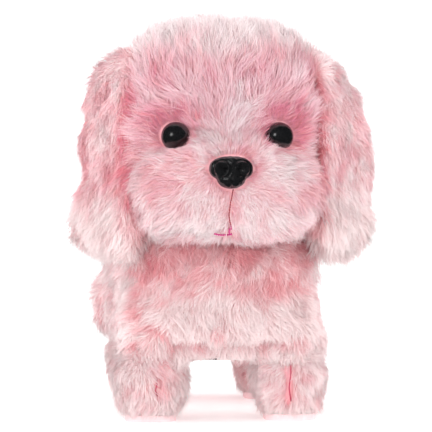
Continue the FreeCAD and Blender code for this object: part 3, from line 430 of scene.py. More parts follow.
def pile(name, skin, n, seed, where, comb, length, lift, tone, cool, body,
         thick=0.27, clump=9, pull=0.36, wild=0.30, mat=None, keep=None, droop=0.10, under=1.5, soft=0.58):
    """Fibres on a skin: where weights the roots, comb gives the lie, lift how far they stand, tone 0 deep to 1 pale.
    n long fibres, each bent once, and under * n short straight ones that fill in between them."""
    rng = np.random.default_rng(seed)
    n_long, n_short = int(n), int(n * under)
    P, N = skin.sample(n_long + n_short, where, rng)
    n = len(P)
    short = np.arange(n) >= n_long
    T = comb(P, N)
    T = T - (T * N).sum(1, keepdims=True) * N
    T = unit(T)
    side = np.cross(N, T)
    swirl = wave(P, seed + 11, 24.0)[:, None] * 0.5 + wave(P, seed + 12, 9.0)[:, None] * 0.5
    stray = np.where(short, 1.3, 0.55)[:, None]
    T = unit(T + side * swirl * wild * 2.2 + rng.normal(size=(n, 3)) * wild * stray)
    L = length(P, N) * (1 + 0.14 * wave(P, seed + 13, 9.0)) * rng.uniform(0.72, 1.12, n)
    L = np.where(short, L * rng.uniform(0.5, 0.72, n), L)
    up = np.clip(lift(P, N) + 0.14 * wave(P, seed + 14, 13.0) + rng.normal(size=n) * 0.1 + 0.12 * short, 0.05, 0.98)[:, None]
    # rises first, then lies down along the comb, then sags
    mid = P + L[:, None] * 0.5 * unit(N * np.clip(up * 1.5, 0, 1.3) + T * 0.75)
    tip = mid + L[:, None] * 0.5 * unit(N * up * 0.6 + T * 1.0 + np.array([0, 0, -droop]) + rng.normal(size=(n, 3)) * 0.24)
    # tufts: fibres lean towards their tuft's leader
    m = max(8, n_long // clump)
    lead = rng.choice(n_long, m, replace=False)
    kd = KDTree(m)
    for j, i in enumerate(lead):
        kd.insert(P[i], j)
    kd.balance()
    own = lead[np.array([kd.find(p)[1] for p in P])]
    strong = rng.uniform(0.25, 1.0, n)[own] * pull
    strong = np.clip(strong * rng.uniform(0.7, 1.15, n) * np.where(short, 0.5, 1.0), 0, 0.9)[:, None]
    tip = tip * (1 - strong) + (tip[own] + (P - P[own]) * 0.22) * strong
    mid = mid * (1 - strong * 0.45) + (mid[own] + (P - P[own]) * 0.55) * strong * 0.45
    t = np.clip(tone(P, N) + 0.075 * rng.normal(size=n) + 0.10 * wave(P, seed % 10 + 70, 5.0) - 0.24 * short, 0, 1)
    fam = (rng.random(n) < cool(P, N)).astype(float)
    if keep is not None:
        ok = keep(P, mid, tip)
        P, N, mid, tip, short, t, fam = P[ok], N[ok], mid[ok], tip[ok], short[ok], t[ok], fam[ok]
        n = len(P)
    TIPS[name] = tip
    root = P - N * 0.7
    a = unit(mid - root)
    # one flat side of each fibre faces out of the skin
    out = N - (N * a).sum(1, keepdims=True) * a + 0.05 * rng.normal(size=(n, 3))
    out = unit(out - (out * a).sum(1, keepdims=True) * a)
    e1 = unit(-out + np.cross(a, out) * rng.normal(size=(n, 1)) * 0.3)
    e2 = np.cross(a, e1)
    w0 = thick * rng.uniform(0.7, 1.15, n)[:, None] * 0.5
    w0 = np.where(short[:, None], w0 * 1.25, w0)
    u = 0.5 * fam + 0.5 * (0.04 + 0.92 * t)
    cos, sin = [math.cos(TAU * k / 3) for k in range(3)], [math.sin(TAU * k / 3) for k in range(3)]
    parts = []
    # long fibres: a ring at the root, a ring at the bend, a tip
    i = np.nonzero(~short)[0]
    co, nr = np.empty((len(i), 7, 3)), np.empty((len(i), 7, 3))
    for k in range(3):
        off = e1[i] * cos[k] + e2[i] * sin[k]
        co[:, k] = root[i] + off * w0[i]
        co[:, 3 + k] = mid[i] + off * w0[i] * 0.85
        nr[:, k] = nr[:, 3 + k] = unit(N[i] * soft + off * (1 - soft)) if k else off
    co[:, 6] = tip[i]
    nr[:, 6] = unit(N[i] * soft + unit(tip[i] - mid[i]) * (1 - soft) * 0.5)
    one = np.array([0, 1, 4, 3, 1, 2, 5, 4, 2, 0, 3, 5, 3, 4, 6, 4, 5, 6, 5, 3, 6, 0, 2, 1])
    parts.append((i, co, nr, one, np.array([0, 4, 8, 12, 15, 18, 21]), np.array([0.02] * 3 + [0.5] * 3 + [0.98]),
                  np.array([-0.006, 0.006, 0.0, -0.006, 0.006, 0.0, 0.0])))
    # short fibres: a ring at the root and a tip
    i = np.nonzero(short)[0]
    if len(i):
        co, nr = np.empty((len(i), 4, 3)), np.empty((len(i), 4, 3))
        for k in range(3):
            off = e1[i] * cos[k] + e2[i] * sin[k]
            co[:, k] = root[i] + off * w0[i]
            nr[:, k] = unit(N[i] * soft + off * (1 - soft)) if k else off
        co[:, 3] = tip[i]
        nr[:, 3] = N[i]
        parts.append((i, co, nr, np.array([0, 1, 3, 1, 2, 3, 2, 0, 3, 0, 2, 1]), np.array([0, 3, 6, 9]),
                      np.array([0.02] * 3 + [0.8]), np.array([-0.006, 0.006, 0.0, 0.0])))
    C, R, Ls, S, U = [], [], [], [], []
    nv = nl = 0
    for i, co, nr, one, per, vv, du in parts:
        k, c = len(i), co.shape[1]
        C.append(co.reshape(-1, 3))
        R.append(nr.reshape(-1, 3))
        Ls.append((nv + (np.arange(k) * c)[:, None] + one[None, :]).ravel())
        S.append((nl + (np.arange(k) * len(one))[:, None] + per[None, :]).ravel())
        uv = np.empty((k, len(one), 2))
        uv[:, :, 0] = u[i][:, None] + du[one][None, :]
        uv[:, :, 1] = vv[one][None, :]
        U.append(uv.reshape(-1, 2))
        nv += k * c
        nl += k * len(one)
    ob = from_arrays(name, np.concatenate(C) * MM, np.concatenate(Ls), np.concatenate(S), np.concatenate(U), [mat or PILE], np.concatenate(R))
    if body:
        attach(ob, body)
    return ob


ones = lambda P: np.ones(len(P))

# ------------------------------------------------------------------ head
NOSE = np.array([0.0, -95.0, 111.0])
EYES = [np.array([s * 22.5, -77.0, 127.0]) for s in (1, -1)]


def head_sdf(P):
    dome = super_ell(P, (0, -40, 139.5), (40.0, 36.0, 35.0), 2.6)
    cheek = super_ell(P, (0, -44, 114.0), (34.5, 33.0, 26.0), 2.6)
    muz = super_ell(P, (0, -66, 104.5), (35.5, 25.5, 18.5), 2.9)
    d = smin(smin(dome, cheek, 8.0), muz, 6.0)
    for sx in (1, -1):
        d = smin(d, super_ell(P, (sx * 11.0, -75.5, 113.5), (13.5, 12.5, 12.5), 2.1), 4.0)
    return d - 0.6 * wave(P, 3, 30.0)


hV, hF = radial((0, -46, 122), head_sdf, 80, 6)
head = Skin(hV, hF)
head_skin = head.object("head_backing")
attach(head_skin, "head")
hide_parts("head_cover")


def head_comb(P, N):
    away = unit(P - NOSE - np.array([0, 10.0, 0]))
    crown = sstep(P[:, 2], 128, 160)[:, None]
    back = sstep(P[:, 1], -52, -30)[:, None]
    down = np.array([0, 0.15, -1.0])
    t = away * (1 - crown) + (np.array([0, 0.25, 0.9]) + away * 0.8) * crown
    t = t * (1 - back * 0.8) + (down + np.stack([P[:, 0] * 0.01, np.zeros(len(P)), np.zeros(len(P))], 1)) * back * 0.8 * (1 - crown) + np.array([0, 1.0, -0.1]) * back * crown * 0.8
    for e in EYES:
        d = P - e
        li = np.clip((-d[:, 2] - d[:, 0] * np.sign(e[0])) / 7.0, 0, 1)
        near = (np.exp(-(np.linalg.norm(d, axis=1) / 11.0) ** 2) * (1 - li))[:, None]
        t = t + unit(d) * near * 1.6
    # parted down the middle, below the nose
    part = (np.exp(-(P[:, 0] / 5.0) ** 2) * sstep(-P[:, 2], -108, -98) * sstep(-P[:, 1], 70, 84))[:, None]
    t = t + np.stack([np.sign(P[:, 0]), np.zeros(len(P)), np.zeros(len(P))], 1) * part * 0.8
    # the muzzle's lower half hangs
    low = (sstep(-P[:, 2], -106, -88) * sstep(-P[:, 1], 50, 70))[:, None]
    t = t + np.array([0, 0, -1.0]) * low * 0.9
    return t


def head_len(P, N):
    dn = np.linalg.norm(P - NOSE, axis=1)
    de = np.minimum(*[np.linalg.norm(P - e, axis=1) for e in EYES])
    L = 4.8 + 8.0 * sstep(dn, 10, 42)
    L = L + 1.5 * sstep(P[:, 2], 145, 165)
    lap = np.zeros(len(P))
    for e in EYES:
        d = P - e
        lap = np.maximum(lap, np.clip((-d[:, 2] - d[:, 0] * np.sign(e[0])) / 7.0, 0, 1) * (np.linalg.norm(d, axis=1) < 16))
    L = L * (0.45 + 0.55 * np.maximum(sstep(de, 6, 16), lap))
    L = L * (1 - 0.45 * sstep(np.abs(P[:, 0]), 32, 36) * sstep(-P[:, 2], -146, -138) * sstep(P[:, 1], -66, -58))
    return L


def head_lift(P, N):
    dn = np.linalg.norm(P - NOSE, axis=1)
    return 0.30 + 0.22 * sstep(dn, 15, 45) + 0.12 * sstep(P[:, 2], 150, 170)


def head_tone(P, N):
    dn = np.linalg.norm((P - NOSE) * np.array([0.9, 0.6, 1.0]), axis=1)
    de = np.minimum(*[np.linalg.norm((P - e - np.array([0, 0, 2.0])) * np.array([0.8, 0.7, 1.0]), axis=1) for e in EYES])
    t = 0.47 + 0.10 * wave(P, 41, 22.0) + 0.09 * wave(P, 42, 9.0)
    t = t + 0.27 * (1 - sstep(dn, 16, 42)) - 0.12 * (1 - sstep(dn, 9, 15))
    t = t + 0.34 * sstep(-P[:, 2], -106, -88) * sstep(-P[:, 1], 50, 70)
    # The crown's top is paler: painted light falling on the top of the head.
    t = t + 0.78 * sstep(P[:, 2], 152, 170)
    # Darker round the eyes: painted shade.
    t = t - 0.60 * (1 - sstep(de, 6.5, 13)) * sstep(P[:, 2], 112, 122)
    # The head's sides under the ears are darker: painted shade cast by the ears.
    side = sstep(np.abs(P[:, 0]), 33, 38) * sstep(-P[:, 2], -150, -135)
    t = t - 1.0 * side
    # Darker under the chin: painted shade.
    t = t - 0.5 * sstep(-P[:, 2], -88, -85) * sstep(P[:, 1], -84, -74)
    # coral channel under the nose
    t = t - 0.5 * np.exp(-((P[:, 0] - 1.5) / 2.6) ** 2) * sstep(-P[:, 2], -103, -97) * sstep(-P[:, 1], 76, 84)
    return t


def head_cool(P, N):
    c = 0.35 + 0.4 * sstep(P[:, 2], 112, 135)
    return c - 0.5 * sstep(np.abs(P[:, 0]), 33, 38) - 0.4 * sstep(P[:, 2], 148, 162)


def off_face(P, mid, tip):
    """Keeps fibres off the nose and, but for a short fringe, off the eyes."""
    ok = np.ones(len(P), bool)
    for X, g in ((P, 0.3), (tip, -0.7)):
        up = (X[:, 0] / (9.3 + g)) ** 2 + ((X[:, 2] - 112.9) / (5.3 + g)) ** 2
        lo = (X[:, 0] / (6.1 + g)) ** 2 + ((X[:, 2] - 109.0) / (4.5 + g)) ** 2
        ok &= ~(((up < 1) | (lo < 1)) & (X[:, 1] < -80))
    for e, lap in zip(EYES, (5.4, 1.8)):
        s = np.sign(e[0])
        for X, r, k in ((P, 6.3, 0.3), (mid, 6.4, 0.75), (tip, 6.2, 1.0)):
            d = X - e
            lower_inner = np.clip((-d[:, 2] - d[:, 0] * s - 0.5) / 4.5, 0, 1)
            rr = np.hypot(d[:, 0], d[:, 2])
            ok &= ~((rr < r - lap * k * lower_inner) & (X[:, 1] < -60))
    line = 0.2 + 1.6 * sstep(-np.abs(P[:, 2] - 96), -9, -2) * -0.6
    low = (P[:, 1] < -84) & (P[:, 2] < 104) & (P[:, 2] > 80)
    ok &= ~((np.abs(tip[:, 0] - line) < 0.9) & low & (np.sin(P[:, 2] * 2.1) > -0.5))
    return ok


def front_w(P):
    return sstep(-P[:, 1], 30, 40)


def w_crown(P):
    return (P[:, 2] > 138) * (0.4 + 0.6 * front_w(P))


def w_face(P):
    return (P[:, 2] <= 138) * (P[:, 2] > 108) * (P[:, 1] < -48) * 1.0


def w_muz(P):
    return (P[:, 2] <= 108) * (P[:, 1] < -48) * 1.0


def w_back(P):
    return (P[:, 2] <= 138) * (P[:, 1] >= -48) * 1.0


def w_muz_l(P):
    return w_muz(P) * (P[:, 0] >= 0)


def w_muz_r(P):
    return w_muz(P) * (P[:, 0] < 0)


HEAD = dict(comb=head_comb, length=head_len, lift=head_lift, tone=head_tone, cool=head_cool, body="head", keep=off_face, mat=HEAD_PILE_PAINTED_SHADE)
for nm, n, sd, w in (("crown_pile", 12200, 101, w_crown), ("face_pile", 12200, 102, w_face), ("muzzle_left_pile", 8000, 103, w_muz_l),
                     ("muzzle_right_pile", 8000, 105, w_muz_r), ("head_back_pile", 9500, 104, w_back),
                     ("crown_pile_2", 12200, 111, w_crown), ("face_pile_2", 12200, 112, w_face), ("muzzle_pile_2", 12200, 113, w_muz)):
    o = pile(nm, head, n, sd, w, **HEAD)

# ------------------------------------------------------------------ nose


def nose_sdf(P):
    top = super_ell(P, (0, -94.0, 112.9), (9.4, 5.2, 5.4), 2.3)
    low = super_ell(P, (0, -94.2, 109.0), (6.2, 4.9, 4.6), 2.1)
    return smin(top, low, 0.7)


nV, nF = radial((0, -94.0, 111.2), nose_sdf, 16, 7)
d = unit(nV - np.array([0, -94.0, 111.2]))
front = sstep(-nV[:, 1], 94.5, 97.0)
push = np.zeros(len(nV))
for s in (1, -1):
    q = nV - np.array([s * 4.1, 0, 112.7])
    x = q[:, 0] * s
    r = np.hypot(x, q[:, 2])
    ang = np.arctan2(q[:, 2], x)
    # a hollow with a raised rim that opens below and curls in towards the middle
    push += -1.7 * np.exp(-(r / 1.75) ** 4)
    gap = np.exp(-((ang + 1.1) / 0.45) ** 2)
    push += 0.62 * np.exp(-((r - 2.75) / 0.5) ** 2) * (1 - gap)
    push += -0.35 * np.exp(-((r - 3.9) / 0.5) ** 2) * (1 - gap)
    slit = np.exp(-((x + 0.1 + 0.35 * (q[:, 2] + 2.0)) / 0.5) ** 2) * sstep(-q[:, 2], 1.2, 2.2) * sstep(q[:, 2], -4.6, -3.4)
    push += -0.7 * slit
push += -0.5 * np.exp(-(nV[:, 0] / 0.45) ** 2) * sstep(-nV[:, 2], -111.0, -109.5)
push += 0.03 * wave(nV, 91, 1.6)
nV = nV + d * (push * front)[:, None] + d * (0.03 * wave(nV, 92, 2.2))[:, None]
nV[:, 1] = np.maximum(nV[:, 1], -99.95)
nose = new_object("nose_sculpted", nV * MM, outward(nV, [tuple(int(i) for i in f) for f in nF]), [NOSE_BLACK])
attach(nose, "head")
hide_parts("nose")

# ------------------------------------------------------------------ mouth stitching


def yarn(path, radius, turns, seed):
    """Two plies twisted along a smooth path, as rings."""
    path = np.array(path, float)
    t = np.linspace(0, 1, len(path))
    u = np.linspace(0, 1, 120)
    C = np.stack([np.interp(u, t, path[:, k]) for k in range(3)], 1)
    for _ in range(12):
        C[1:-1] = 0.25 * C[:-2] + 0.5 * C[1:-1] + 0.25 * C[2:]
    T = unit(np.gradient(C, axis=0))
    A = unit(np.cross(T, np.array([1.0, 0.2, 0.1]) if abs(T[0][0]) < 0.8 else np.array([0.0, 1.0, 0.1])))
    B = np.cross(T, A)
    out = []
    for ply in (0, math.pi):
        rings = []
        for i in range(len(C)):
            a = turns * TAU * u[i] + ply
            c = C[i] + (A[i] * math.cos(a) + B[i] * math.sin(a)) * radius * 0.5
            w = radius * 0.58
            rings.append(np.array([c + (A[i] * math.cos(b) + B[i] * math.sin(b)) * w for b in np.arange(10) * TAU / 10]))
        out.append(loft(rings))
    return out


def on_pile(path):
    """The path moved along Y to lie on the muzzle's pile."""
    T = np.concatenate([TIPS[k] for k in ("muzzle_left_pile", "muzzle_right_pile", "muzzle_pile_2", "face_pile", "face_pile_2")])
    out = []
    for x, _, z in path:
        near = np.hypot(T[:, 0] - x, T[:, 2] - z) < 2.0
        out.append((x, float(np.percentile(T[near, 1], 7)) - 0.15, z))
    return out


VV, FF = [], []
nv = 0
down = on_pile([(0.9, 0, 104.2), (0.5, 0, 102.4), (0.2, 0, 100.5), (-0.3, 0, 98.5), (-0.6, 0, 96.0), (-0.8, 0, 93.5), (-0.5, 0, 91.0), (0.1, 0, 88.8), (0.5, 0, 86.9)])
across = on_pile([(-6.6, 0, 85.0), (-4.5, 0, 84.5), (-2.5, 0, 84.4), (-0.6, 0, 84.5), (1.0, 0, 84.9)])
knot = on_pile([(-0.2, 0, 87.2), (-0.3, 0, 85.8), (0.3, 0, 84.6)])
for V, F in yarn(down, 0.26, 9, 1) + yarn(across, 0.42, 4, 2) + yarn(knot, 0.36, 2, 3):
    F = outward(V, F)
    VV.append(V)
    FF += [tuple(i + nv for i in f) for f in F]
    nv += len(V)
stitch = new_object("mouth_stitches", np.concatenate(VV) * MM, FF, [THREAD])
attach(stitch, "head")
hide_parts("mouth_stitching")

# ------------------------------------------------------------------ ears
# z, middle x, middle y, width, thickness, yaw: the left ear and the right ear as they hang
EAR_R = [(165, 39.0, -44, 13, 6, 20), (160, 44.5, -44, 24, 9, 26), (147, 50.5, -44.5, 33, 9.5, 34), (128, 53.5, -46, 39, 9.5, 38),
         (112, 53.5, -47, 40, 9.5, 38), (98, 53.0, -48, 40, 9, 36), (87, 53.2, -48.5, 38, 8, 34), (81, 52.8, -49, 31, 6.5, 32), (78, 52.4, -49, 19, 4, 32)]
EAR_L = [(165, 39.5, -44, 13, 6, 20), (160, 44.5, -44, 24, 9, 26), (147, 48.0, -44.5, 32, 9, 30), (128, 47.5, -45.5, 36, 8.5, 32),
         (112, 47.8, -47, 37, 8, 32), (98, 50.0, -48, 39, 8, 34), (87, 50.2, -48.5, 40, 8, 36), (81, 49.6, -49, 33, 6.5, 37), (78, 48.5, -49, 20, 4, 37)]


def ear_skin(rows, sx):
    z = np.array([r[0] for r in rows], float)
    zz = np.linspace(z[0], z[-1], 40)
    cols = [np.interp(-zz, -z, [r[k] for r in rows]) for k in range(1, 6)]
    for k in range(5):
        c = cols[k].copy()
        for _ in range(2):
            c[1:-1] = 0.25 * c[:-2] + 0.5 * c[1:-1] + 0.25 * c[2:]
        cols[k] = c
    rings = []
    m = 44
    a = np.arange(m) * TAU / m
    for i in range(len(zz)):
        cx, cy, w, t, yaw = (c[i] for c in cols)
        uu = np.sign(np.cos(a)) * np.abs(np.cos(a)) ** 0.8 * w / 2
        nn = np.sign(np.sin(a)) * np.abs(np.sin(a)) ** 0.8 * t / 2
        s, c = math.sin(math.radians(yaw)), math.cos(math.radians(yaw))
        # the flap cups a little round the cheek
        nn = nn + 0.0022 * (uu ** 2)
        x = cx + uu * s + nn * c
        y = cy + uu * c - nn * s
        rings.append(np.stack([sx * x, y, np.full(m, zz[i])], 1))
    V, F = loft(rings)
    V = V + 0.5 * wave3(V, 77, 22.0)
    return V, F


ears = {}
for side, sx, rows in (("left", 1, EAR_R), ("right", -1, EAR_L)):
    V, F = ear_skin(rows, sx)
    sk = Skin(V, F)
    ears[side] = sk
    ob = sk.object("ear_%s_backing" % side)
    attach(ob, "ear_" + side)
    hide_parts("ear_" + side)

    def comb(P, N, sx=sx):
        low = sstep(-P[:, 2], -104, -80)[:, None]
        out = np.stack([np.full(len(P), sx * 1.0), np.zeros(len(P)), np.zeros(len(P))], 1)
        front = sstep(-P[:, 1], 40, 62)[:, None]
        top = sstep(P[:, 2], 150, 162)[:, None]
        return (np.array([0, 0, -1.0]) + out * (0.22 + 0.55 * low) * (1 - front * 0.6) + np.array([0, -0.25, 0]) * front) * (1 - top) + (out + np.array([0, -0.3, 0.5])) * top

    def ln(P, N):
        return 8.0 + 3.5 * sstep(-P[:, 2], -120, -90)

    def lf(P, N):
        return 0.28 + 0.1 * sstep(-P[:, 2], -110, -84) + 0 * P[:, 0]

    def tn(P, N, sx=sx):
        t = (0.77 if sx > 0 else 0.56) + 0.10 * wave(P, 51, 20.0) + 0.08 * wave(P, 52, 8.0)
        t = t + 0.55 * sstep(-P[:, 2], -112, -90) + 0.15 * sstep(P[:, 2], 145, 158)
        # Darker near the head, where the ear lies against it, and on the side facing the head: painted shade.
        t = t - 0.9 * (1 - sstep(np.abs(P[:, 0]), 41.0, 46.5)) * sstep(P[:, 2], 84, 100) * sstep(-P[:, 2], -156, -142)
        inner = sstep(-N[:, 0] * sx, 0.1, 0.6)
        t = t - 0.45 * inner * (1 - 0.6 * sstep(-P[:, 2], -92, -80))
        return t

    def cl(P, N, sx=sx):
        return 0.36 - 0.34 * sstep(-N[:, 0] * sx, 0.0, 0.5) - 0.3 * sstep(-P[:, 2], -108, -88)

    for nm, sd in (("ear_%s_pile", 200), ("ear_%s_pile_2", 210)):
        o = pile(nm % side, sk, 12200, sd + (sx > 0), lambda P, sx=sx: 0.3 + 0.7 * (np.abs(P[:, 0]) > 50) + 0.7 * (P[:, 1] < -52), comb, ln, lf, tn, cl, "ear_" + side, clump=10, pull=0.42)

# ------------------------------------------------------------------ body


def body_sdf(P):
    d = round_box(P, (0, 9.5, 60.5), (44.0, 66.0, 31.5), 18.0)
    front = 1 - sstep(P[:, 1], -50, 6)
    d = d + 4.6 * front * sstep(np.abs(P[:, 0]), 24, 36)
    rump = super_ell(P, (0, 48.0, 47.0), (46.5, 30.0, 22.0), 2.5)
    d = smin(d, rump, 8.0)
    for sx in (1, -1):
        for ly in (-40.0, 52.0):
            d = smin(d, super_ell(P, (sx * 29.5, ly + (1 if ly > 0 else -1), 41.0), (13.6, 14.2, 17.5), 2.3), 4.0)
    # the head sits in a hollow
    hollow = super_ell(P, (0, -42, 122), (52, 50, 34), 2.2)
    d = np.maximum(d, -hollow)
    # a crease across the chest above the hem band
    f = sstep(-P[:, 1], 40, 56)
    crease = np.exp(-((P[:, 2] - 36.5) / 3.2) ** 2) * f * sstep(-np.abs(P[:, 0]), -34, -24)
    middle = np.exp(-((P[:, 0] + 2.0) / 4.6) ** 2) * f * sstep(-P[:, 2], -60, -52) * sstep(P[:, 2], 39, 45)
    ring = np.hypot((P[:, 0] + 30) / 6.5, (P[:, 2] - 36) / 7.5)
    loop = np.exp(-((ring - 1) / 0.3) ** 2) * f
    tuft = np.exp(-(((P[:, 0] + 18) / 11) ** 2 + ((P[:, 2] - 45) / 7) ** 2)) + 0.8 * np.exp(-(((P[:, 0] - 17) / 13) ** 2 + ((P[:, 2] - 47) / 8) ** 2))
    return d - 0.9 * wave(P, 5, 34.0) + 2.4 * crease + 2.4 * middle - 3.6 * tuft * f + 1.8 * loop


bV, bF = radial((0, 9, 60), body_sdf, 110, 6, steps=90)
bodys = Skin(bV, bF)
body_skin = bodys.object("body_backing")
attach(body_skin, "chassis")
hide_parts("body_cover")


def body_comb(P, N):
    t = np.array([0, 0.25, -1.0]) + np.stack([P[:, 0] * 0.006, np.zeros(len(P)), np.zeros(len(P))], 1)
    top = sstep(P[:, 2], 80, 92)[:, None]
    t = t * (1 - top) + (np.array([0, 1.0, -0.1]) + np.stack([P[:, 0] * 0.02, np.zeros(len(P)), np.zeros(len(P))], 1)) * top
    under = sstep(-P[:, 2], -32, -29)[:, None]
    out = np.stack([P[:, 0] / 40.0, (P[:, 1] - 9) / 60.0, np.zeros(len(P))], 1)
    return t * (1 - under) + (out + np.array([0, 0, -0.2])) * under


def body_len(P, N):
    L = 10.5 + 1.0 * wave(P, 63, 20.0) - 1.5 * sstep(-P[:, 1], 0, 40)
    return L * (1 - 0.45 * sstep(-N[:, 2], 0.5, 0.9))


def body_lift(P, N):
    return 0.34 + 0.12 * wave(P, 64, 18.0)


def body_tone(P, N):
    t = 0.54 + 0.14 * wave(P, 61, 17.0) + 0.10 * wave(P, 62, 8.0)
    front = sstep(-P[:, 1], 40, 54)
    for c, r, a in (((-18, 45), (13, 9), 0.62), ((18, 48), (15, 10), 0.50), ((-2, 60), (5, 14), 0.25), ((2, 29), (24, 5), 0.30)):
        q = ((P[:, 0] - c[0]) / r[0]) ** 2 + ((P[:, 2] - c[1]) / r[1]) ** 2
        t = t + a * np.exp(-q) * front
    # Darker along the chest crease: painted shade in the crease.
    t = t - 0.40 * front * np.exp(-((P[:, 2] - 36.5) / 2.6) ** 2) * sstep(-np.abs(P[:, 0]), -36, -28)
    # Darker at the top of the chest, under the head: painted shade.
    t = t - 0.20 * front * sstep(P[:, 2], 66, 78)
    # Darker in the ring-shaped groove: painted shade.
    ring = np.hypot((P[:, 0] + 30) / 6.5, (P[:, 2] - 36) / 7.5)
    t = t - 1.0 * front * np.exp(-((ring - 1) / 0.3) ** 2)
    # Darker in the groove down the middle of the chest: painted shade.
    t = t - 0.75 * front * np.exp(-(((P[:, 0] + 2.0) / 3.0) ** 2)) * sstep(P[:, 2], 39, 44) * sstep(-P[:, 2], -58, -50)
    t = t - 0.6 * front * np.exp(-(((P[:, 0] - 31) / 4) ** 2 + ((P[:, 2] - 40) / 2.5) ** 2))
    t = t - 0.5 * front * np.exp(-(((P[:, 0] + 36) / 5) ** 2)) * sstep(P[:, 2], 44, 50) * sstep(-P[:, 2], -78, -64)
    t = t + 0.46 * (1 - front) + 0.56 * front * sstep(-P[:, 2], -66, -46)
    return t


def body_cool(P, N):
    return 0.22 - 0.16 * sstep(-P[:, 1], 38, 52)


def belly_gap(P):
    """No pile where the battery box, its door and the switch come through."""
    inside = (np.abs(P[:, 0]) < 31) & (P[:, 1] > -14) & (P[:, 1] < 27)
    inside |= (np.abs(P[:, 0]) < 13.5) & (P[:, 1] > -27) & (P[:, 1] <= -14)
    inside |= (np.abs(P[:, 0]) < 8.5) & (P[:, 1] >= 27) & (P[:, 1] < 34)
    return inside & (P[:, 2] < 36)


def keep_body(P, mid, tip):
    ok = ~belly_gap(P)
    ok &= ~belly_gap(tip + np.array([0, 0, 4.0]))
    return ok & (tip[:, 2] > 20)


BODY = dict(comb=body_comb, length=body_len, lift=body_lift, tone=body_tone, cool=body_cool, body="chassis", keep=keep_body, wild=0.42, pull=0.45)
for nm, n, sd, w in (
    ("chest_left_pile", 9000, 301, lambda P: (P[:, 1] < -30) * (1 - 0.8 * (P[:, 2] > 88)) * (P[:, 0] >= 0)),
    ("chest_right_pile", 9000, 305, lambda P: (P[:, 1] < -30) * (1 - 0.8 * (P[:, 2] > 88)) * (P[:, 0] < 0)),
    ("chest_left_pile_2", 9000, 311, lambda P: (P[:, 1] < -30) * (1 - 0.8 * (P[:, 2] > 88)) * (P[:, 0] >= 0)),
    ("chest_right_pile_2", 9000, 315, lambda P: (P[:, 1] < -30) * (1 - 0.8 * (P[:, 2] > 88)) * (P[:, 0] < 0)),
    ("body_left_pile", 9500, 302, lambda P: (P[:, 1] >= -30) * (P[:, 1] < 50) * (P[:, 0] >= 0) * 1.0),
    ("body_right_pile", 9500, 303, lambda P: (P[:, 1] >= -30) * (P[:, 1] < 50) * (P[:, 0] < 0) * 1.0),
    ("rump_pile", 12000, 304, lambda P: (P[:, 1] >= 50) * 1.0),
):
    o = pile(nm, bodys, n, sd, w, **BODY)

# ------------------------------------------------------------------ legs
for e, ly in (("front", -40.0), ("rear", 52.0)):
    for side, sx in (("left", 1), ("right", -1)):
        rings = []
        m = 40
        a = np.arange(m) * TAU / m
        for z, hx, hy in ((2.4, 5.6, 6.4), (3.2, 7.6, 8.4), (5.8, 9.8, 10.8), (10, 12.0, 12.8), (16, 13.2, 13.4), (22, 13.2, 12.8), (27, 11.2, 11.0), (30, 9.0, 9.0), (32, 5.0, 5.5)):
            x = np.sign(np.cos(a)) * np.abs(np.cos(a)) ** 0.75 * hx
            y = np.sign(np.sin(a)) * np.abs(np.sin(a)) ** 0.75 * hy
            rings.append(np.stack([sx * 31.5 + x, ly + y, np.full(m, z)], 1))
        V, F = loft(rings)
        sk = Skin(V, F)
        tag = "%s_%s" % (e, side)
        ob = sk.object("leg_%s_backing" % tag)
        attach(ob, "leg_" + tag)
        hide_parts("leg_cover_" + tag)

        def comb(P, N, cx=sx * 31.5):
            return np.array([0, 0, -0.75]) + np.stack([(P[:, 0] - cx) * 0.03, np.zeros(len(P)), np.zeros(len(P))], 1)

        def ln(P, N):
            return 8.0 - 2.2 * sstep(-P[:, 2], -9, -3) + 2.0 * sstep(P[:, 2], 20, 28)

        def lf(P, N):
            return 0.42 + 0 * P[:, 0]

        def tn(P, N, cx=sx * 31.5 + (0 if sx > 0 else 3.0), ly=ly):
            # Paler than the body's pile: partly the pile's own colour, partly painted light from the front and below.
            t = 0.97 + 0.10 * wave(P, 71, 14.0) + 0.10 * wave(P, 72, 6.0)
            seam = np.exp(-((P[:, 0] - cx + 1.0) / 1.3) ** 2) * sstep(-(P[:, 1] - ly), 5, 11) * sstep(P[:, 2], 6, 9)
            return t + 0.2 * sstep(-P[:, 2], -10, -4) - 0.6 * seam

        def cl(P, N):
            return 0.15 + 0 * P[:, 0]

        def kp(P, mid, tip, sx=sx, ly=ly, e=e):
            za, zb = (8.0, 31.0) if sx > 0 else (11.5, 21.0)
            cx = sx * 31.5 + (-1.2 if sx > 0 else 2.0)
            seam = np.zeros(len(P), bool)
            if e == "front":
                for X, g in ((P, 1.0), (mid, 0.9), (tip, 0.45)):
                    seam |= (np.abs(X[:, 0] - cx) < g) & (X[:, 1] < ly - 8) & (X[:, 2] > za) & (X[:, 2] < zb)
            return ~seam & (P[:, 2] > 2.2) & (tip[:, 2] > 0.5)

        if e == "front":
            za, zb = (9.0, 30.0) if sx > 0 else (12.0, 20.5)
            xs = sx * 31.5 + (-1.2 if sx > 0 else 2.0)
            V, F = yarn([(xs + 0.5, ly - 13.6, za), (xs - 0.4, ly - 15.4, za + 0.3 * (zb - za)), (xs + 0.3, ly - 15.6, za + 0.6 * (zb - za)), (xs + 0.2, ly - 13.6, zb)], 0.5, 0.5, 5)[0]
            seam_ob = new_object("leg_%s_seam" % tag, V * MM, outward(V, F), [SEAM])
            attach(seam_ob, "leg_" + tag)
        o = pile("leg_%s_pile" % tag, sk, 12200 if e == "front" else 8000, 400 + (sx > 0) + 2 * (e == "rear"), ones, comb, ln, lf, tn, cl, "leg_" + tag, keep=kp, clump=8, wild=0.4)

# ------------------------------------------------------------------ tail


def tail_sdf(P):
    a, b = np.array([0, 84.5, 84.0]), np.array([0, 88.0, 106.0])
    ab = b - a
    t = np.clip(((P - a) @ ab) / (ab @ ab), 0, 1)[:, None]
    d = np.linalg.norm(P - (a + ab * t), axis=1)
    return d - (5.0 + 2.4 * t[:, 0])


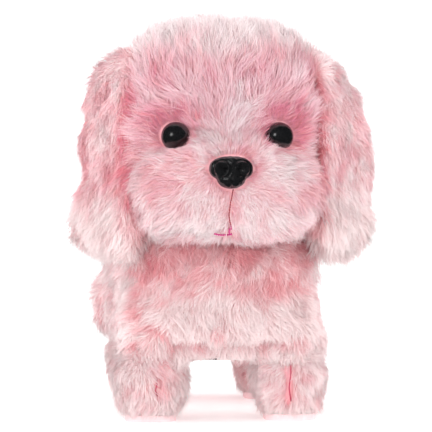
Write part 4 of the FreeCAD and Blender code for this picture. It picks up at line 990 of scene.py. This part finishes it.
tV, tF = radial((0, 86.3, 95), tail_sdf, 40, 5)
tail = Skin(tV, tF)
tail_skin = tail.object("tail_backing")
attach(tail_skin, "tail")
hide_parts("tail_cover")
o = pile("tail_pile", tail, 4500, 501, ones,
         lambda P, N: np.tile(np.array([0, 0.15, 0.9]), (len(P), 1)),
         lambda P, N: 9.5 + 0 * P[:, 0], lambda P, N: 0.45 + 0 * P[:, 0],
         lambda P, N: 0.5 + 0.3 * sstep(P[:, 2], 96, 112), lambda P, N: 0.5 + 0 * P[:, 0], "tail", droop=0.0)

# ------------------------------------------------------------------ stage, light and camera
def area(name, loc, target, size, power, colour=(1, 1, 1)):
    l = bpy.data.lights.new(name, "AREA")
    l.shape = "RECTANGLE"
    l.size, l.size_y = size
    l.energy = power
    l.color = colour
    o = bpy.data.objects.new(name, l)
    bpy.context.scene.collection.objects.link(o)
    o.location = loc
    o.rotation_euler = (Vector(target) - Vector(loc)).to_track_quat("-Z", "Y").to_euler()
    return o


AIM = Vector((0.0, -0.020, 0.0915))
area("key_light", (-0.66, -0.87, 0.38), AIM, (0.38, 0.38), 1.3).data.shape = "DISK"
area("top_light", (0.0, 0.35, 1.1), AIM, (0.9, 0.9), 1.3)
area("front_light", (0.10, -2.0, 0.22), AIM, (1.6, 0.4), 4.2).visible_glossy = False
area("left_light", (-1.3, -0.35, 0.35), AIM, (0.9, 0.7), 1.9).visible_glossy = False
area("right_light", (1.3, -0.45, 0.35), AIM, (0.9, 0.7), 2.6).visible_glossy = False
world = bpy.data.worlds.new("studio")
bpy.context.scene.world = world
world.use_nodes = True
wt = world.node_tree
wc = wt.nodes.new("ShaderNodeTexCoord")
ws = wt.nodes.new("ShaderNodeSeparateXYZ")
wt.links.new(wc.outputs["Generated"], ws.inputs[0])
wr = ramp(wt, [(0.0, (1, 1, 1, 1)), (0.3, (1, 1, 1, 1)), (1.0, (0.86, 0.86, 0.86, 1))])
wt.links.new(ws.outputs[2], wr.inputs[0])
wt.links.new(wr.outputs[0], wt.nodes["Background"].inputs[0])
world.node_tree.nodes["Background"].inputs[1].default_value = 1.33
world.cycles_visibility.glossy = False

fm, fnt, fp = material("studio_floor")
fp.inputs["Roughness"].default_value = 0.8
fp.inputs["Emission Color"].default_value = (1, 1, 1, 1)
fp.inputs["Emission Strength"].default_value = 0.28
tc = fnt.nodes.new("ShaderNodeTexCoord")
fn = fnt.nodes.new("ShaderNodeTexNoise")
fn.inputs["Scale"].default_value = 3.0
fnt.links.new(tc.outputs["Object"], fn.inputs["Vector"])
fr = ramp(fnt, [(0.0, (0.97, 0.97, 0.97, 1)), (1.0, (0.98, 0.98, 0.98, 1))])
fnt.links.new(fn.outputs["Fac"], fr.inputs[0])
fnt.links.new(fr.outputs[0], fp.inputs["Base Color"])
floor = new_object("studio_floor", [(-9, -9, 0), (9, -9, 0), (9, 9, 0), (-9, 9, 0)], [(0, 1, 2, 3)], [fm])
floor.visible_glossy = False

cam_data = bpy.data.cameras.new("camera")
cam = bpy.data.objects.new("camera", cam_data)
bpy.context.scene.collection.objects.link(cam)
AZ, EL, DIST = math.radians(-5.0), math.radians(1.0), 0.95
cam.location = AIM + Vector((math.sin(AZ) * math.cos(EL), -math.cos(AZ) * math.cos(EL), math.sin(EL))) * DIST
cam.rotation_euler = (AIM - cam.location).to_track_quat("-Z", "Y").to_euler()
cam_data.sensor_width = 36.0
# 0.45 mm a pixel across the head and the front legs
plane = DIST - 0.024
cam_data.lens = 36.0 * plane / (432 * 0.45 * MM)
cam_data.clip_start, cam_data.clip_end = 0.01, 20
bpy.context.scene.camera = cam
bpy.context.scene.view_settings.view_transform = "Standard"
bpy.context.scene.cycles.max_bounces = 24
bpy.context.scene.cycles.diffuse_bounces = 20
